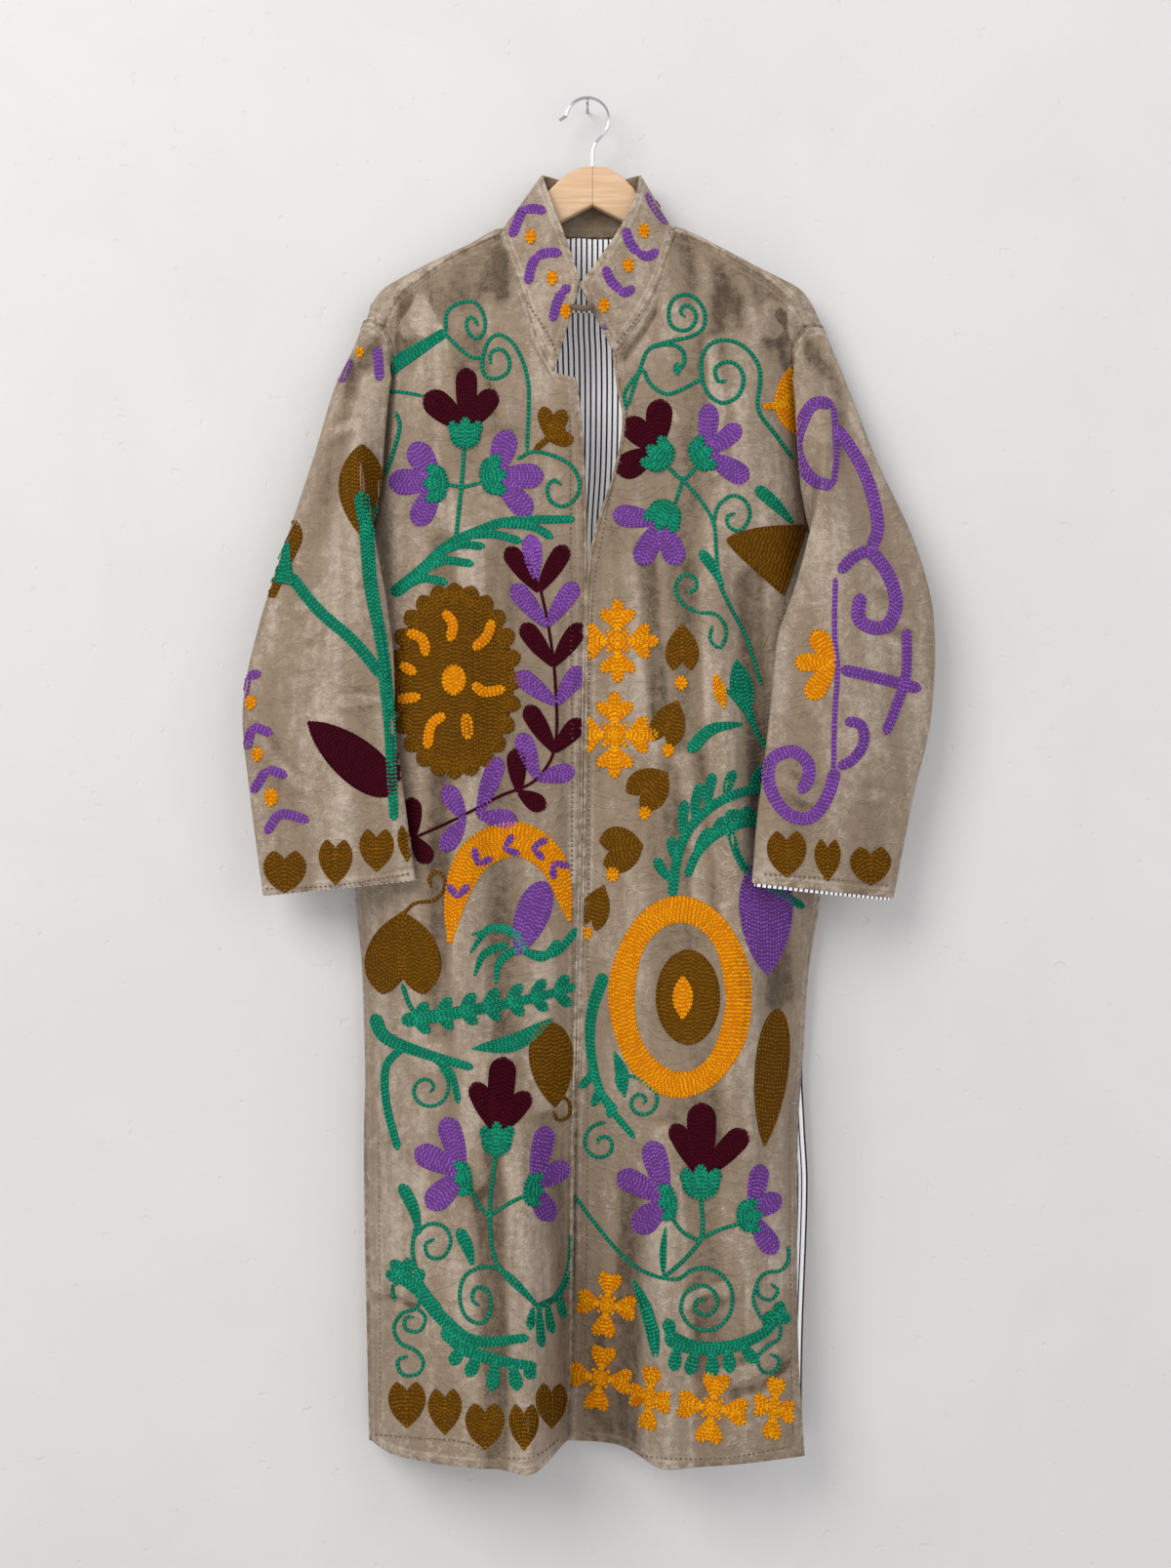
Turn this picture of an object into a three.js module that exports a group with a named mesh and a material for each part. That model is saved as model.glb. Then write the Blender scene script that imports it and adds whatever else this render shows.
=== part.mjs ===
// A long suzani coat of velvet, lined with striped cotton, on a wooden hanger.
// Millimetres, +Z up, +X to the wearer's left, -Y to the front.
// The origin is the inside top of the hanger's hook, where a nail or a rail bears.
// "drop" is the distance below that point, so a point's z is minus its drop.
import * as THREE from "three";

// ---------------------------------------------------------------- driving dimensions
const WALL = 2.0; // velvet and its lining together
const LINING_WALL = 1.0;
const COLLAR_WALL = 3.0;
const SEAM_GAP = 0.3;
const HEM_DROP = 1309;
const NECK_HALF = 84; // neck point to the coat's middle
const LOOP_RADIUS = 2.7;
const WOOD_THICKNESS = 12;
const WOOD_EDGE_ROUND = 2.5;
const WIRE_RADIUS = 1.65;
const HOOK_RADIUS = 21; // centreline of the hook's bend
const CUFF_LINING_LENGTH = 24;
const UNDERARM_DROP = 420;
const SLEEVE_CORNER_DROP = 224; // where a front's armhole edge meets the sleeve head

// ---------------------------------------------------------------- tables
// A table is a list of rows under named columns; columns() turns it into one array a name.
function columns(names, rows) {
  const out = {};
  names.split(" ").forEach((name, i) => {
    out[name] = rows.map((row) => row[i]);
  });
  return out;
}

// Fronts: centre edge and side edge (x), then the y of the cloth along seven fold lines,
// from the centre edge to the side seam, a row for each level.
const FOLDS = ["edge", "inner", "fold", "ridge", "outer", "flank", "seam"];
const FRONT_COLUMNS = "drop centre side " + FOLDS.join(" ");

const FRONT_RIGHT = {
  across: [0, 0.17, 0.33, 0.5, 0.72, 0.88, 1],
  levels: columns(FRONT_COLUMNS, [
    [135, -25, -197.4, -40, -32, -15, -12, -12, -12, -12],
    [193, -25, -197.4, -44, -38, -24, -20, -15, -12, -12],
    [224, -25, -197.4, -45, -42, -34, -28, -24, -17, -12],
    [240, -25, -190.5, -45, -43, -37, -31, -28, -15, -3],
    [290, -10.5, -196.7, -46, -46, -44, -40, -38, -22, 1],
    [366, -4, -203.7, -46, -48, -48, -47, -42, -28, 4],
    [427, -2, -211.7, -45, -48, -51, -52, -44, -26, 8],
    [478, -2, -213.7, -44, -49, -52, -54, -45, -25, 9],
    [571, -4, -220.5, -42, -50, -54, -58, -46, -24, 10],
    [709, -6, -225.4, -38, -50, -56, -62, -46, -22, 11],
    [772, -8, -227.3, -35, -51, -57, -64, -47, -21, 11],
    [847, -10.5, -220.7, -32, -52, -58, -66, -48, -20, 12],
    [985, -14.3, -216.9, -24, -58, -62, -68, -52, -24, 12],
    [1123, -16.3, -214.5, -12, -70, -72, -70, -56, -30, 12],
    [1214, -17.2, -213, -2, -78, -78, -72, -55, -30, 12],
    [1309, -18, -212, 8, -82, -82, -73, -53, -30, 12],
  ]),
  neckline: columns("x drop", [
    [-50.4, 238.6],
    [-64.8, 190.2],
    [-77.3, 156.1],
    [-84, 135.7],
  ]),
  neckFront: columns("x drop", [
    [-10, 280],
    [-22.4, 276.3],
    [-34.5, 271.5],
    [-50.4, 238.6],
  ]),
  shoulder: columns("x drop", [
    [-84, 133.5],
    [-114.3, 148],
    [-145.5, 165.3],
    [-162.5, 177.6],
    [-178.5, 188.5],
    [-188.9, 205],
    [-197.4, 223.8],
  ]),
};

const FRONT_LEFT = {
  across: [0, 0.2, 0.41, 0.58, 0.73, 0.87, 1],
  levels: columns(FRONT_COLUMNS, [
    [135, 23.5, 209.7, -40, -30, -13, -12, -12, -12, -12],
    [193, 23.5, 209.7, -44, -38, -26, -20, -15, -12, -12],
    [224, 23.5, 209.7, -45, -42, -34, -28, -24, -17, -12],
    [240, 23.5, 200.3, -45, -44, -38, -33, -30, -17, -4],
    [290, 29.7, 204.4, -46, -46, -42, -42, -38, -24, 2],
    [319, 35, 206, -46, -47, -43, -44, -40, -25, 3],
    [366, 27, 209.4, -47, -47, -45, -48, -42, -26, 4],
    [427, 8, 217.4, -46, -48, -48, -54, -44, -26, 8],
    [478, 0, 221.3, -45, -49, -50, -57, -44, -25, 9],
    [571, -1, 226.2, -44, -50, -52, -60, -46, -24, 10],
    [709, -2.8, 229.1, -40, -50, -56, -66, -48, -22, 10],
    [772, -4, 228, -37, -50, -57, -66, -56, -24, 9],
    [847, -6.6, 216.5, -33, -50, -58, -66, -64, -30, 9],
    [939, -10.4, 210.3, -24, -47, -58, -65, -67, -38, 9],
    [967, -11.6, 208, -21, -46, -58, -64, -67, -41, 8],
    [1000, -12.8, 205, -16, -43, -60, -64, -66, -45, -2],
    [1123, -14.7, 201.5, 2, -30, -70, -66, -66, -54, -28],
    [1214, -16.2, 202.2, 8, -16, -74, -68, -64, -54, -35],
    [1309, -22, 207.7, 13, 0, -72, -70, -62, -50, -37],
  ]),
  neckline: columns("x drop", [
    [49.4, 224.6],
    [65.7, 192.1],
    [76.3, 158.9],
    [84, 135.7],
  ]),
  neckFront: columns("x drop", [
    [15, 257],
    [23.2, 255.2],
    [27.9, 253.8],
    [49.4, 224.6],
  ]),
  shoulder: columns("x drop", [
    [84, 133.5],
    [106.7, 139.8],
    [133.2, 153.9],
    [164.4, 171.9],
    [178.5, 181.3],
    [194.6, 196.5],
    [202.1, 205.9],
    [209.7, 223.8],
  ]),
};

// Back: its two side edges (x) and the y of its outer face along seven lines.
const BACK = {
  across: [0, 0.15, 0.35, 0.5, 0.65, 0.85, 1],
  levels: columns("drop right left seamR bladeR valleyR middle valleyL bladeL seamL", [
    [135, -220.5, 231.9, 10, 16, 17, 19, 17, 16, 10],
    [220, -220.5, 231.9, 10, 17, 18, 20, 18, 17, 10],
    [242, -219.9, 233.3, 13, 19, 18, 21, 19, 19, 13],
    [285, -218.2, 232.6, 15, 21, 19, 22, 19, 21, 15],
    [357, -215.1, 227.6, 14, 23, 18, 23, 18, 23, 14],
    [420, -211.7, 217.4, 10.5, 24, 17, 23, 18, 24, 10.5],
    [478, -213.7, 221.3, 11.5, 25, 17, 23, 18, 25, 11.5],
    [571, -220.5, 226.2, 12.5, 25, 16, 24, 17, 26, 12.5],
    [709, -225.4, 229.1, 13.5, 24, 18, 25, 17, 26, 12.5],
    [772, -227.3, 228, 13.5, 24, 19, 26, 17, 25, 11.5],
    [847, -220.7, 216.5, 14.5, 25, 18, 27, 18, 25, 11.5],
    [939, -217.5, 210.5, 14.5, 26, 18, 27, 19, 25, 11.5],
    [1000, -219, 213, 14.6, 26, 18, 27, 20, 25, 13],
    [1060, -219, 216, 14.6, 26, 19, 26, 20, 26, 15],
    [1214, -216, 211, 14.6, 27, 20, 25, 22, 27, 15],
    [1309, -214, 210, 14.6, 28, 20, 25, 22, 28, 15],
  ]),
};

// Highest line of the shoulders over the hanger, from the neck out to the sleeve heads.
const SHOULDER_TOP = columns("x drop", [
  [-216.8, 214.2],
  [-213.8, 206.1],
  [-208, 195.7],
  [-198.5, 184.3],
  [-186.2, 176.7],
  [-170.1, 167.9],
  [-146.3, 156.1],
  [-115, 141.9],
  [-84, 126],
  [84, 125],
  [102.6, 131.1],
  [133.9, 147.2],
  [165.3, 163.4],
  [189, 174.8],
  [204.7, 183.3],
  [212.8, 190.9],
  [220.4, 203.3],
  [228, 219.8],
]);

// Seam of the sleeve head over the shoulder's end, from the front corner to the back.
const HEAD_SEAM_RIGHT = columns("x y drop", [
  [-220.5, 10, 220.2],
  [-216.8, 2, 214.2],
  [-208.4, -6, 216.4],
  [-197.4, -12, 223.5],
]);
const HEAD_SEAM_LEFT = columns("x y drop", [
  [209.7, -12, 223.5],
  [219.8, -6, 219.7],
  [228.2, 2, 219.8],
  [231.9, 10, 225.9],
]);

// Seam of the collar round the back of the neck.
const BACK_NECK = columns("x y drop", [
  [-83, 2, 126],
  [-77.3, 9, 126],
  [-64, 14, 130],
  [-26, 18, 131.3],
  [2, 19, 132],
  [31, 18, 131.3],
  [63, 14, 130],
  [77.3, 9, 126],
  [83, 2, 126],
]);

// Upper edge of the collar, in three stretches, over the places on the neck seam (neckX).
const COLLAR_RIGHT = columns("neckX x y drop", [
  [-34.5, -6.6, -44, 186.8],
  [-50.4, -16.8, -38, 156.5],
  [-64.8, -27.2, -26, 124.5],
  [-77.3, -36.8, -15, 97.1],
  [-84, -43.6, -6, 77.6],
]);
const COLLAR_BACK = columns("neckX x y drop", [
  [-83, -44.5, 1, 73.5],
  [-77.3, -40.1, 8, 72.5],
  [-64, -32.5, 11, 74.5],
  [-26, -13.4, 13.5, 77.8],
  [2, 2.9, 14.5, 79.5],
  [31, 19.1, 13.5, 77.8],
  [63, 40.1, 11, 74.5],
  [77.3, 47.7, 8, 72.5],
  [83, 52, 1, 73.5],
]);
const COLLAR_LEFT = columns("neckX x y drop", [
  [84, 51.1, -6, 77.6],
  [76.3, 45.2, -17, 102.4],
  [65.7, 31.8, -29, 130.6],
  [49.4, 13, -41, 161.7],
  [25, -7.5, -50, 190.8],
]);

// Sleeves: the outer and inner fold of each section, how far the cloth stands before and
// behind the line between them at three places, and how far the back swings outward.
const SLEEVE_COLUMNS =
  "outX outY outDrop inX inY inDrop f1 f2 f3 b3 b2 b1 swing";
const SLEEVE_RIGHT = columns(SLEEVE_COLUMNS, [
  [-229, 2, 242, -217, -3, 438, 14, 32, 22, 12, 16, 15, 7],
  [-244, 0, 275, -194, -30, 487, 18, 42, 28, 12, 17, 15, 16],
  [-266, -4, 345, -185, -42, 528, 20, 40, 26, 12, 18, 16, 7],
  [-290, -8, 417, -182, -47, 570, 20, 36, 22, 10, 16, 15, 0],
  [-321, -14, 517, -181, -52, 619, 18, 28, 18, 8, 14, 14, 0],
  [-334, -18, 592, -176, -55, 654, 16, 24, 16, 8, 14, 13, 0],
  [-327, -20, 668, -169, -58, 709, 15, 20, 15, 8, 13, 13, 0],
  [-313, -22, 774, -162, -60, 757, 14, 18, 14, 8, 13, 13, 0],
]);
const SLEEVE_LEFT = columns(SLEEVE_COLUMNS, [
  [241, 2, 247, 224, -3, 438, 14, 32, 22, 12, 17, 17, 10],
  [258, 0, 292, 197, -31, 487, 18, 40, 28, 12, 17, 15, 18],
  [284, -4, 355, 180, -46, 524, 20, 38, 26, 11, 18, 16, 8],
  [319, -10, 431, 174, -52, 566, 20, 32, 22, 9, 15, 15, 0],
  [337, -16, 505, 169, -58, 612, 18, 26, 18, 7, 13, 14, 0],
  [332, -20, 606, 164, -64, 659, 16, 22, 16, 7, 12, 13, 0],
  [316, -22, 671, 158, -70, 709, 15, 19, 15, 7, 12, 13, 0],
  [295, -24, 776, 154, -74, 759, 14, 18, 14, 7, 12, 13, 0],
]);

// ---------------------------------------------------------------- curves
// Value at x of the smooth line through (xs, ys); xs rises or falls steadily.
function through(xs, ys, x) {
  const rising = xs[xs.length - 1] > xs[0];
  const order = rising ? 1 : -1;
  let i = 0;
  while (i < xs.length - 2 && order * (x - xs[i + 1]) > 0) i += 1;
  const slope = (k) => {
    const a = Math.max(k - 1, 0);
    const b = Math.min(k + 1, xs.length - 1);
    return (ys[b] - ys[a]) / (xs[b] - xs[a]);
  };
  const step = xs[i + 1] - xs[i];
  const t = THREE.MathUtils.clamp((x - xs[i]) / step, 0, 1);
  const tt = t * t;
  const ttt = tt * t;
  return (
    (2 * ttt - 3 * tt + 1) * ys[i] +
    (ttt - 2 * tt + t) * step * slope(i) +
    (3 * tt - 2 * ttt) * ys[i + 1] +
    (ttt - tt) * step * slope(i + 1)
  );
}

const lerp = THREE.MathUtils.lerp;
const point = (x, y, drop) => new THREE.Vector3(x, y, -drop);

function range(count, from = 0, to = 1) {
  return Array.from({ length: count + 1 }, (_, i) => lerp(from, to, i / count));
}

// Points at the given fractions of the length of a chain of points.
function along(chain, fractions) {
  const run = [0];
  for (let i = 1; i < chain.length; i += 1) {
    run.push(run[i - 1] + chain[i].distanceTo(chain[i - 1]));
  }
  return fractions.map((fraction) => {
    const length = fraction * run[run.length - 1];
    let i = 0;
    while (i < chain.length - 2 && run[i + 1] < length) i += 1;
    const t = (length - run[i]) / (run[i + 1] - run[i]);
    return chain[i].clone().lerp(chain[i + 1], t);
  });
}

// ---------------------------------------------------------------- solids from grids
// A grid is a list of lines of points. Its normals come from its neighbours' differences.
function normalsOf(grid, round) {
  const last = grid.length - 1;
  return grid.map((line, i) =>
    line.map((_, j) => {
      const before = round ? (i + last) % (last + 1) : Math.max(i - 1, 0);
      const after = round ? (i + 1) % (last + 1) : Math.min(i + 1, last);
      const alongLine = line[Math.min(j + 1, line.length - 1)]
        .clone()
        .sub(line[Math.max(j - 1, 0)]);
      const across = grid[after][j].clone().sub(grid[before][j]);
      return across.cross(alongLine).normalize();
    }),
  );
}

function movedAlong(grid, normals, distance) {
  return grid.map((line, i) =>
    line.map((p, j) => p.clone().addScaledVector(normals[i][j], distance)),
  );
}

function signedVolume(points, faces) {
  let volume = 0;
  for (const [a, b, c] of faces) {
    volume += points[a].dot(points[b].clone().cross(points[c]));
  }
  return volume / 6;
}

function geometryOf(points, faces) {
  const outward = signedVolume(points, faces) > 0;
  const turned = outward ? faces : faces.map(([a, b, c]) => [a, c, b]);
  const geometry = new THREE.BufferGeometry();
  geometry.setAttribute(
    "position",
    new THREE.Float32BufferAttribute(points.flatMap((p) => p.toArray()), 3),
  );
  geometry.setIndex(turned.flat());
  geometry.computeVertexNormals();
  return geometry;
}

// A wall of cloth between two grids of the same size, closed by rims at its edges.
function wallBetween(outer, inner, round) {
  const lines = outer.length;
  const places = outer[0].length;
  const points = [...outer.flat(), ...inner.flat()];
  const at = (side, i, j) => (side * lines + (i % lines)) * places + j;
  const faces = [];
  const quad = (a, b, c, d) => faces.push([a, b, c], [a, c, d]);
  const spans = round ? lines : lines - 1;
  for (let i = 0; i < spans; i += 1) {
    for (let j = 0; j < places - 1; j += 1) {
      quad(at(0, i, j), at(0, i + 1, j), at(0, i + 1, j + 1), at(0, i, j + 1));
      quad(at(1, i, j), at(1, i, j + 1), at(1, i + 1, j + 1), at(1, i + 1, j));
    }
    const end = places - 1;
    quad(at(0, i, 0), at(1, i, 0), at(1, i + 1, 0), at(0, i + 1, 0));
    quad(at(0, i, end), at(0, i + 1, end), at(1, i + 1, end), at(1, i, end));
  }
  if (!round) {
    const far = lines - 1;
    for (let j = 0; j < places - 1; j += 1) {
      quad(at(0, 0, j), at(0, 0, j + 1), at(1, 0, j + 1), at(1, 0, j));
      quad(at(0, far, j), at(1, far, j), at(1, far, j + 1), at(0, far, j + 1));
    }
  }
  return geometryOf(points, faces);
}

// A round rod along a chain of points, with flat ends.
function rod(chain, radius, sides) {
  const points = [];
  const faces = [];
  const frame = new THREE.CatmullRomCurve3(chain).computeFrenetFrames(
    chain.length - 1,
    false,
  );
  chain.forEach((centre, i) => {
    for (let k = 0; k < sides; k += 1) {
      const turn = (2 * Math.PI * k) / sides;
      points.push(
        centre
          .clone()
          .addScaledVector(frame.normals[i], radius * Math.cos(turn))
          .addScaledVector(frame.binormals[i], radius * Math.sin(turn)),
      );
    }
  });
  for (let i = 0; i < chain.length - 1; i += 1) {
    for (let k = 0; k < sides; k += 1) {
      const a = i * sides + k;
      const b = i * sides + ((k + 1) % sides);
      faces.push([a, b, b + sides], [a, b + sides, a + sides]);
    }
  }
  const start = points.push(chain[0].clone()) - 1;
  const end = points.push(chain[chain.length - 1].clone()) - 1;
  const lastRing = (chain.length - 1) * sides;
  for (let k = 0; k < sides; k += 1) {
    const next = (k + 1) % sides;
    faces.push([start, next, k], [end, lastRing + k, lastRing + next]);
  }
  return geometryOf(points, faces);
}

// ---------------------------------------------------------------- fronts
const FRONT_NECK_STEPS = 7;
const FRONT_SHOULDER_STEPS = 12;
const FRONT_ROWS = 22;

function frontX(front, u, drop) {
  const { levels } = front;
  const centre = through(levels.drop, levels.centre, drop);
  const side = through(levels.drop, levels.side, drop);
  return lerp(centre, side, u);
}

function frontY(front, u, drop) {
  const { levels, across } = front;
  const along = FOLDS.map((fold) => through(levels.drop, levels[fold], drop));
  return through(across, along, u);
}

// Drop of a front's upper edge above the place x: neckline, then shoulder seam.
function upperEdge(front, x) {
  const { neckFront, neckline, shoulder } = front;
  const reach = Math.abs(x);
  if (reach >= NECK_HALF) return through(shoulder.x, shoulder.drop, x);
  const line = reach < Math.abs(neckline.x[0]) ? neckFront : neckline;
  return through(line.x, line.drop, x);
}

function topDrop(front, u) {
  let drop = 200;
  for (let i = 0; i < 60; i += 1) {
    drop = lerp(drop, upperEdge(front, frontX(front, u, drop)), 0.4);
  }
  return drop;
}

function neckColumn(front) {
  const { centre, side } = front.levels;
  const sign = Math.sign(side[0]);
  return (sign * NECK_HALF - centre[0]) / (side[0] - centre[0]);
}

function frontGrid(front) {
  const neck = neckColumn(front);
  const us = [
    ...range(FRONT_NECK_STEPS, 0, neck),
    ...range(FRONT_SHOULDER_STEPS, neck, 1).slice(1),
  ];
  return us.map((u) => {
    const top = topDrop(front, u);
    return range(FRONT_ROWS).map((t) => {
      const drop = lerp(top, HEM_DROP, t);
      return point(frontX(front, u, drop), frontY(front, u, drop), drop);
    });
  });
}

// The inner face is the outer one moved in by the wall; along the side seam it is moved
// straight sideways, so that the back panel closes against it.
function frontSolid(front) {
  const outer = frontGrid(front);
  const sign = Math.sign(front.levels.side[0]);
  const inner = movedAlong(outer, normalsOf(outer, false), sign * WALL);
  const last = outer.length - 1;
  inner[last] = outer[last].map((p) =>
    p.clone().add(new THREE.Vector3(-sign * WALL, 0, 0)),
  );
  return wallBetween(outer, inner, false);
}

// ---------------------------------------------------------------- back
const FRONT_ARC_STEPS = 4;
const REAR_ARC_STEPS = 4;
const BACK_ROWS = 18;

function backX(x, drop) {
  const { levels } = BACK;
  const u = (x - levels.right[0]) / (levels.left[0] - levels.right[0]);
  const right = through(levels.drop, levels.right, drop);
  const left = through(levels.drop, levels.left, drop);
  return lerp(right, left, u);
}

const BACK_LINES = "seamR bladeR valleyR middle valleyL bladeL seamL".split(" ");

function backY(x, drop) {
  const { levels, across } = BACK;
  const u = (x - levels.right[0]) / (levels.left[0] - levels.right[0]);
  const along = BACK_LINES.map((line) => through(levels.drop, levels[line], drop));
  return through(across, along, u);
}

// Where the back panel starts above the place x: the sleeve head's seam, the shoulder
// seam on the front, or the collar's seam at the back of the neck.
function backStart(x) {
  const front = x < 0 ? FRONT_RIGHT : FRONT_LEFT;
  const head = x < 0 ? HEAD_SEAM_RIGHT : HEAD_SEAM_LEFT;
  const corner = Math.abs(front.levels.side[0]);
  if (Math.abs(x) > corner) {
    return { y: through(head.x, head.y, x), drop: through(head.x, head.drop, x) };
  }
  if (Math.abs(x) >= NECK_HALF) {
    const drop = upperEdge(front, x);
    const { centre, side } = front.levels;
    const u = (x - centre[0]) / (side[0] - centre[0]);
    const slope = (upperEdge(front, x + Math.sign(x)) - drop) * Math.sign(x);
    const clear = 3 * SEAM_GAP * Math.hypot(1, slope);
    return { y: frontY(front, u, drop), drop: drop - clear };
  }
  return {
    y: through(BACK_NECK.x, BACK_NECK.y, x),
    drop: through(BACK_NECK.x, BACK_NECK.drop, x),
  };
}

// One line of the back panel: up from the seam on the front, over the shoulder, and down.
function backLine(x) {
  const start = backStart(x);
  const overTop = start.y < 0;
  const top = overTop
    ? { y: 0, drop: through(SHOULDER_TOP.x, SHOULDER_TOP.drop, x) }
    : start;
  const depth = Math.max(2, backY(x, top.drop) - top.y);
  const foot = { y: backY(x, top.drop + depth), drop: top.drop + depth };
  const line = [];
  const frontSteps = overTop ? FRONT_ARC_STEPS : 0;
  for (let i = 0; i < frontSteps; i += 1) {
    const turn = ((1 - i / frontSteps) * Math.PI) / 2;
    const y = top.y + (start.y - top.y) * Math.sin(turn);
    const drop = top.drop + (start.drop - top.drop) * (1 - Math.cos(turn));
    line.push(point(x, y, drop));
  }
  const rearSteps = FRONT_ARC_STEPS + REAR_ARC_STEPS - frontSteps;
  for (let i = 0; i < rearSteps; i += 1) {
    const turn = ((i / rearSteps) * Math.PI) / 2;
    const y = top.y + (foot.y - top.y) * Math.sin(turn);
    const drop = top.drop + (foot.drop - top.drop) * (1 - Math.cos(turn));
    line.push(point(x, y, drop));
  }
  for (const drop of range(BACK_ROWS, foot.drop, HEM_DROP)) {
    line.push(point(backX(x, drop), backY(x, drop), drop));
  }
  return line;
}

// Over the shoulders the back's lines meet the fronts' own lines at the seam.
function shoulderPlaces(front) {
  const neck = neckColumn(front);
  return range(FRONT_SHOULDER_STEPS, neck, 1).map((u) => frontX(front, u, topDrop(front, u)));
}

const NECK_PLACES = [
  ...range(2, BACK_NECK.x[0], BACK_NECK.x[2]),
  ...range(7, BACK_NECK.x[2], BACK_NECK.x[6]).slice(1),
  ...range(2, BACK_NECK.x[6], BACK_NECK.x[8]).slice(1),
];

function backStations() {
  return [
    ...HEAD_SEAM_RIGHT.x.slice(0, 3),
    ...shoulderPlaces(FRONT_RIGHT).reverse(),
    ...NECK_PLACES,
    ...shoulderPlaces(FRONT_LEFT),
    ...HEAD_SEAM_LEFT.x.slice(1),
  ];
}

function backGrid() {
  return backStations().map(backLine);
}

function backSolid() {
  const outer = backGrid();
  const inner = movedAlong(outer, normalsOf(outer, false), -WALL);
  return wallBetween(outer, inner, false);
}

// The striped lining shows in the neck, the side vent and under the hem. It is made from
// the back's own lines below the shoulders, moved in.
const LINING_INSET = 4;

function liningSolid() {
  const back = backGrid();
  const normals = normalsOf(back, false);
  const first = FRONT_ARC_STEPS + REAR_ARC_STEPS + 1;
  const cut = (grid) => grid.slice(LINING_INSET, -LINING_INSET).map((line) => line.slice(first));
  const lines = cut(back);
  const outward = cut(normals);
  const offset = WALL + SEAM_GAP;
  return wallBetween(
    movedAlong(lines, outward, -offset),
    movedAlong(lines, outward, -offset - LINING_WALL),
    false,
  );
}

// ---------------------------------------------------------------- sleeves
const SLEEVE_HALF_STEPS = 11;
const FOLD_ROUNDNESS = 0.8;
const ARMHOLE_GAP = 1.7;
const ARMHOLE_STEPS = 10;
const SLEEVE_ROWS = 16;

// The armhole, from the underarm up the front's edge, over the head, and down the back's.
function armhole(front, head) {
  const { levels } = front;
  const frontEdge = range(ARMHOLE_STEPS, UNDERARM_DROP, SLEEVE_CORNER_DROP).map((drop) =>
    point(through(levels.drop, levels.side, drop), frontY(front, 1, drop), drop));
  const order = head.x[0] < 0 ? [2, 1] : [1, 2];
  const headEdge = order.map((i) => point(head.x[i], head.y[i], head.drop[i]));
  const edge = head.x[0] < 0 ? BACK.levels.right : BACK.levels.left;
  const seam = head.x[0] < 0 ? BACK.levels.seamR : BACK.levels.seamL;
  const backTop = head.x[0] < 0 ? head.drop[0] : head.drop[3];
  const backDrops = BACK.levels.drop;
  const backEdge = range(ARMHOLE_STEPS, backTop, UNDERARM_DROP).map((drop) =>
    point(through(backDrops, edge, drop), through(backDrops, seam, drop), drop));
  const fractions = range(SLEEVE_HALF_STEPS).map((t) => (1 - Math.cos(Math.PI * t)) / 2);
  return {
    front: along([...frontEdge, ...headEdge], fractions),
    back: along([headEdge[1], ...backEdge], fractions),
  };
}

// One section of a sleeve below the armhole, in the armhole's order of points.
function sleeveRing(sleeve, k) {
  const value = (name) => sleeve[name][k];
  const places = [0, 0.25, 0.5, 0.75, 1];
  const before = [value("f1"), value("f1"), value("f2"), value("f3"), value("f3")];
  const behind = [value("b1"), value("b1"), value("b2"), value("b3"), value("b3")];
  const outward = Math.sign(value("outX"));
  const ring = [];
  for (let i = 0; i < 2 * SLEEVE_HALF_STEPS; i += 1) {
    const turn = (Math.PI * i) / SLEEVE_HALF_STEPS;
    const s = (1 + Math.cos(turn)) / 2;
    const onFront = i <= SLEEVE_HALF_STEPS;
    const swell = Math.pow(Math.abs(Math.sin(turn)), FOLD_ROUNDNESS);
    const stand = onFront
      ? -through(places, before, s) * swell
      : through(places, behind, s) * swell;
    const swing = onFront ? 0 : outward * value("swing") * -Math.sin(turn);
    ring.push(
      point(
        lerp(value("outX"), value("inX"), s) + swing,
        lerp(value("outY"), value("inY"), s) + stand,
        lerp(value("outDrop"), value("inDrop"), s),
      ),
    );
  }
  return ring;
}

function sleeveGrid(front, head, sleeve) {
  const hole = armhole(front, head);
  const rings = [[...hole.front, ...hole.back.slice(1, -1)]];
  sleeve.outX.forEach((_, k) => rings.push(sleeveRing(sleeve, k)));
  return rings[0].map((seam, i, hem) => {
    const chain = rings.map((ring) => ring[i]);
    const tangent = hem[(i + 1) % hem.length].clone().sub(hem.at(i - 1)).normalize();
    const away = chain[1].clone().sub(seam);
    away.addScaledVector(tangent, -away.dot(tangent)).normalize();
    const clear = i > 1 && i < SLEEVE_HALF_STEPS - 3 ? 1.5 * SEAM_GAP : ARMHOLE_GAP;
    chain[0] = seam.clone().addScaledVector(away, clear);
    const run = [0];
    for (let k = 1; k < chain.length; k += 1) {
      run.push(run[k - 1] + chain[k].distanceTo(chain[k - 1]));
    }
    const value = (axis, length) => through(run, chain.map((p) => p[axis]), length);
    return range(SLEEVE_ROWS, 0, run[run.length - 1]).map((length) =>
      new THREE.Vector3(value("x", length), value("y", length), value("z", length)));
  });
}

function sleeveSolid(grid, sign) {
  const inner = movedAlong(grid, normalsOf(grid, true), sign * WALL);
  return wallBetween(grid, inner, true);
}

// The cuff's lining hangs a little below the velvet.
function cuffLining(grid, sign, below) {
  const rows = [1, 0.5, 0];
  const strip = grid.map((line) => {
    const end = line[line.length - 1];
    const up = line[line.length - 2].clone().sub(end).normalize();
    const places = rows.map((r) => end.clone().addScaledVector(up, r * CUFF_LINING_LENGTH));
    places.push(end.clone().addScaledVector(up, -below));
    return places;
  });
  const normals = normalsOf(strip, true);
  const offset = sign * (WALL + SEAM_GAP);
  return wallBetween(
    movedAlong(strip, normals, offset),
    movedAlong(strip, normals, offset + sign * LINING_WALL),
    true,
  );
}

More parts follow.
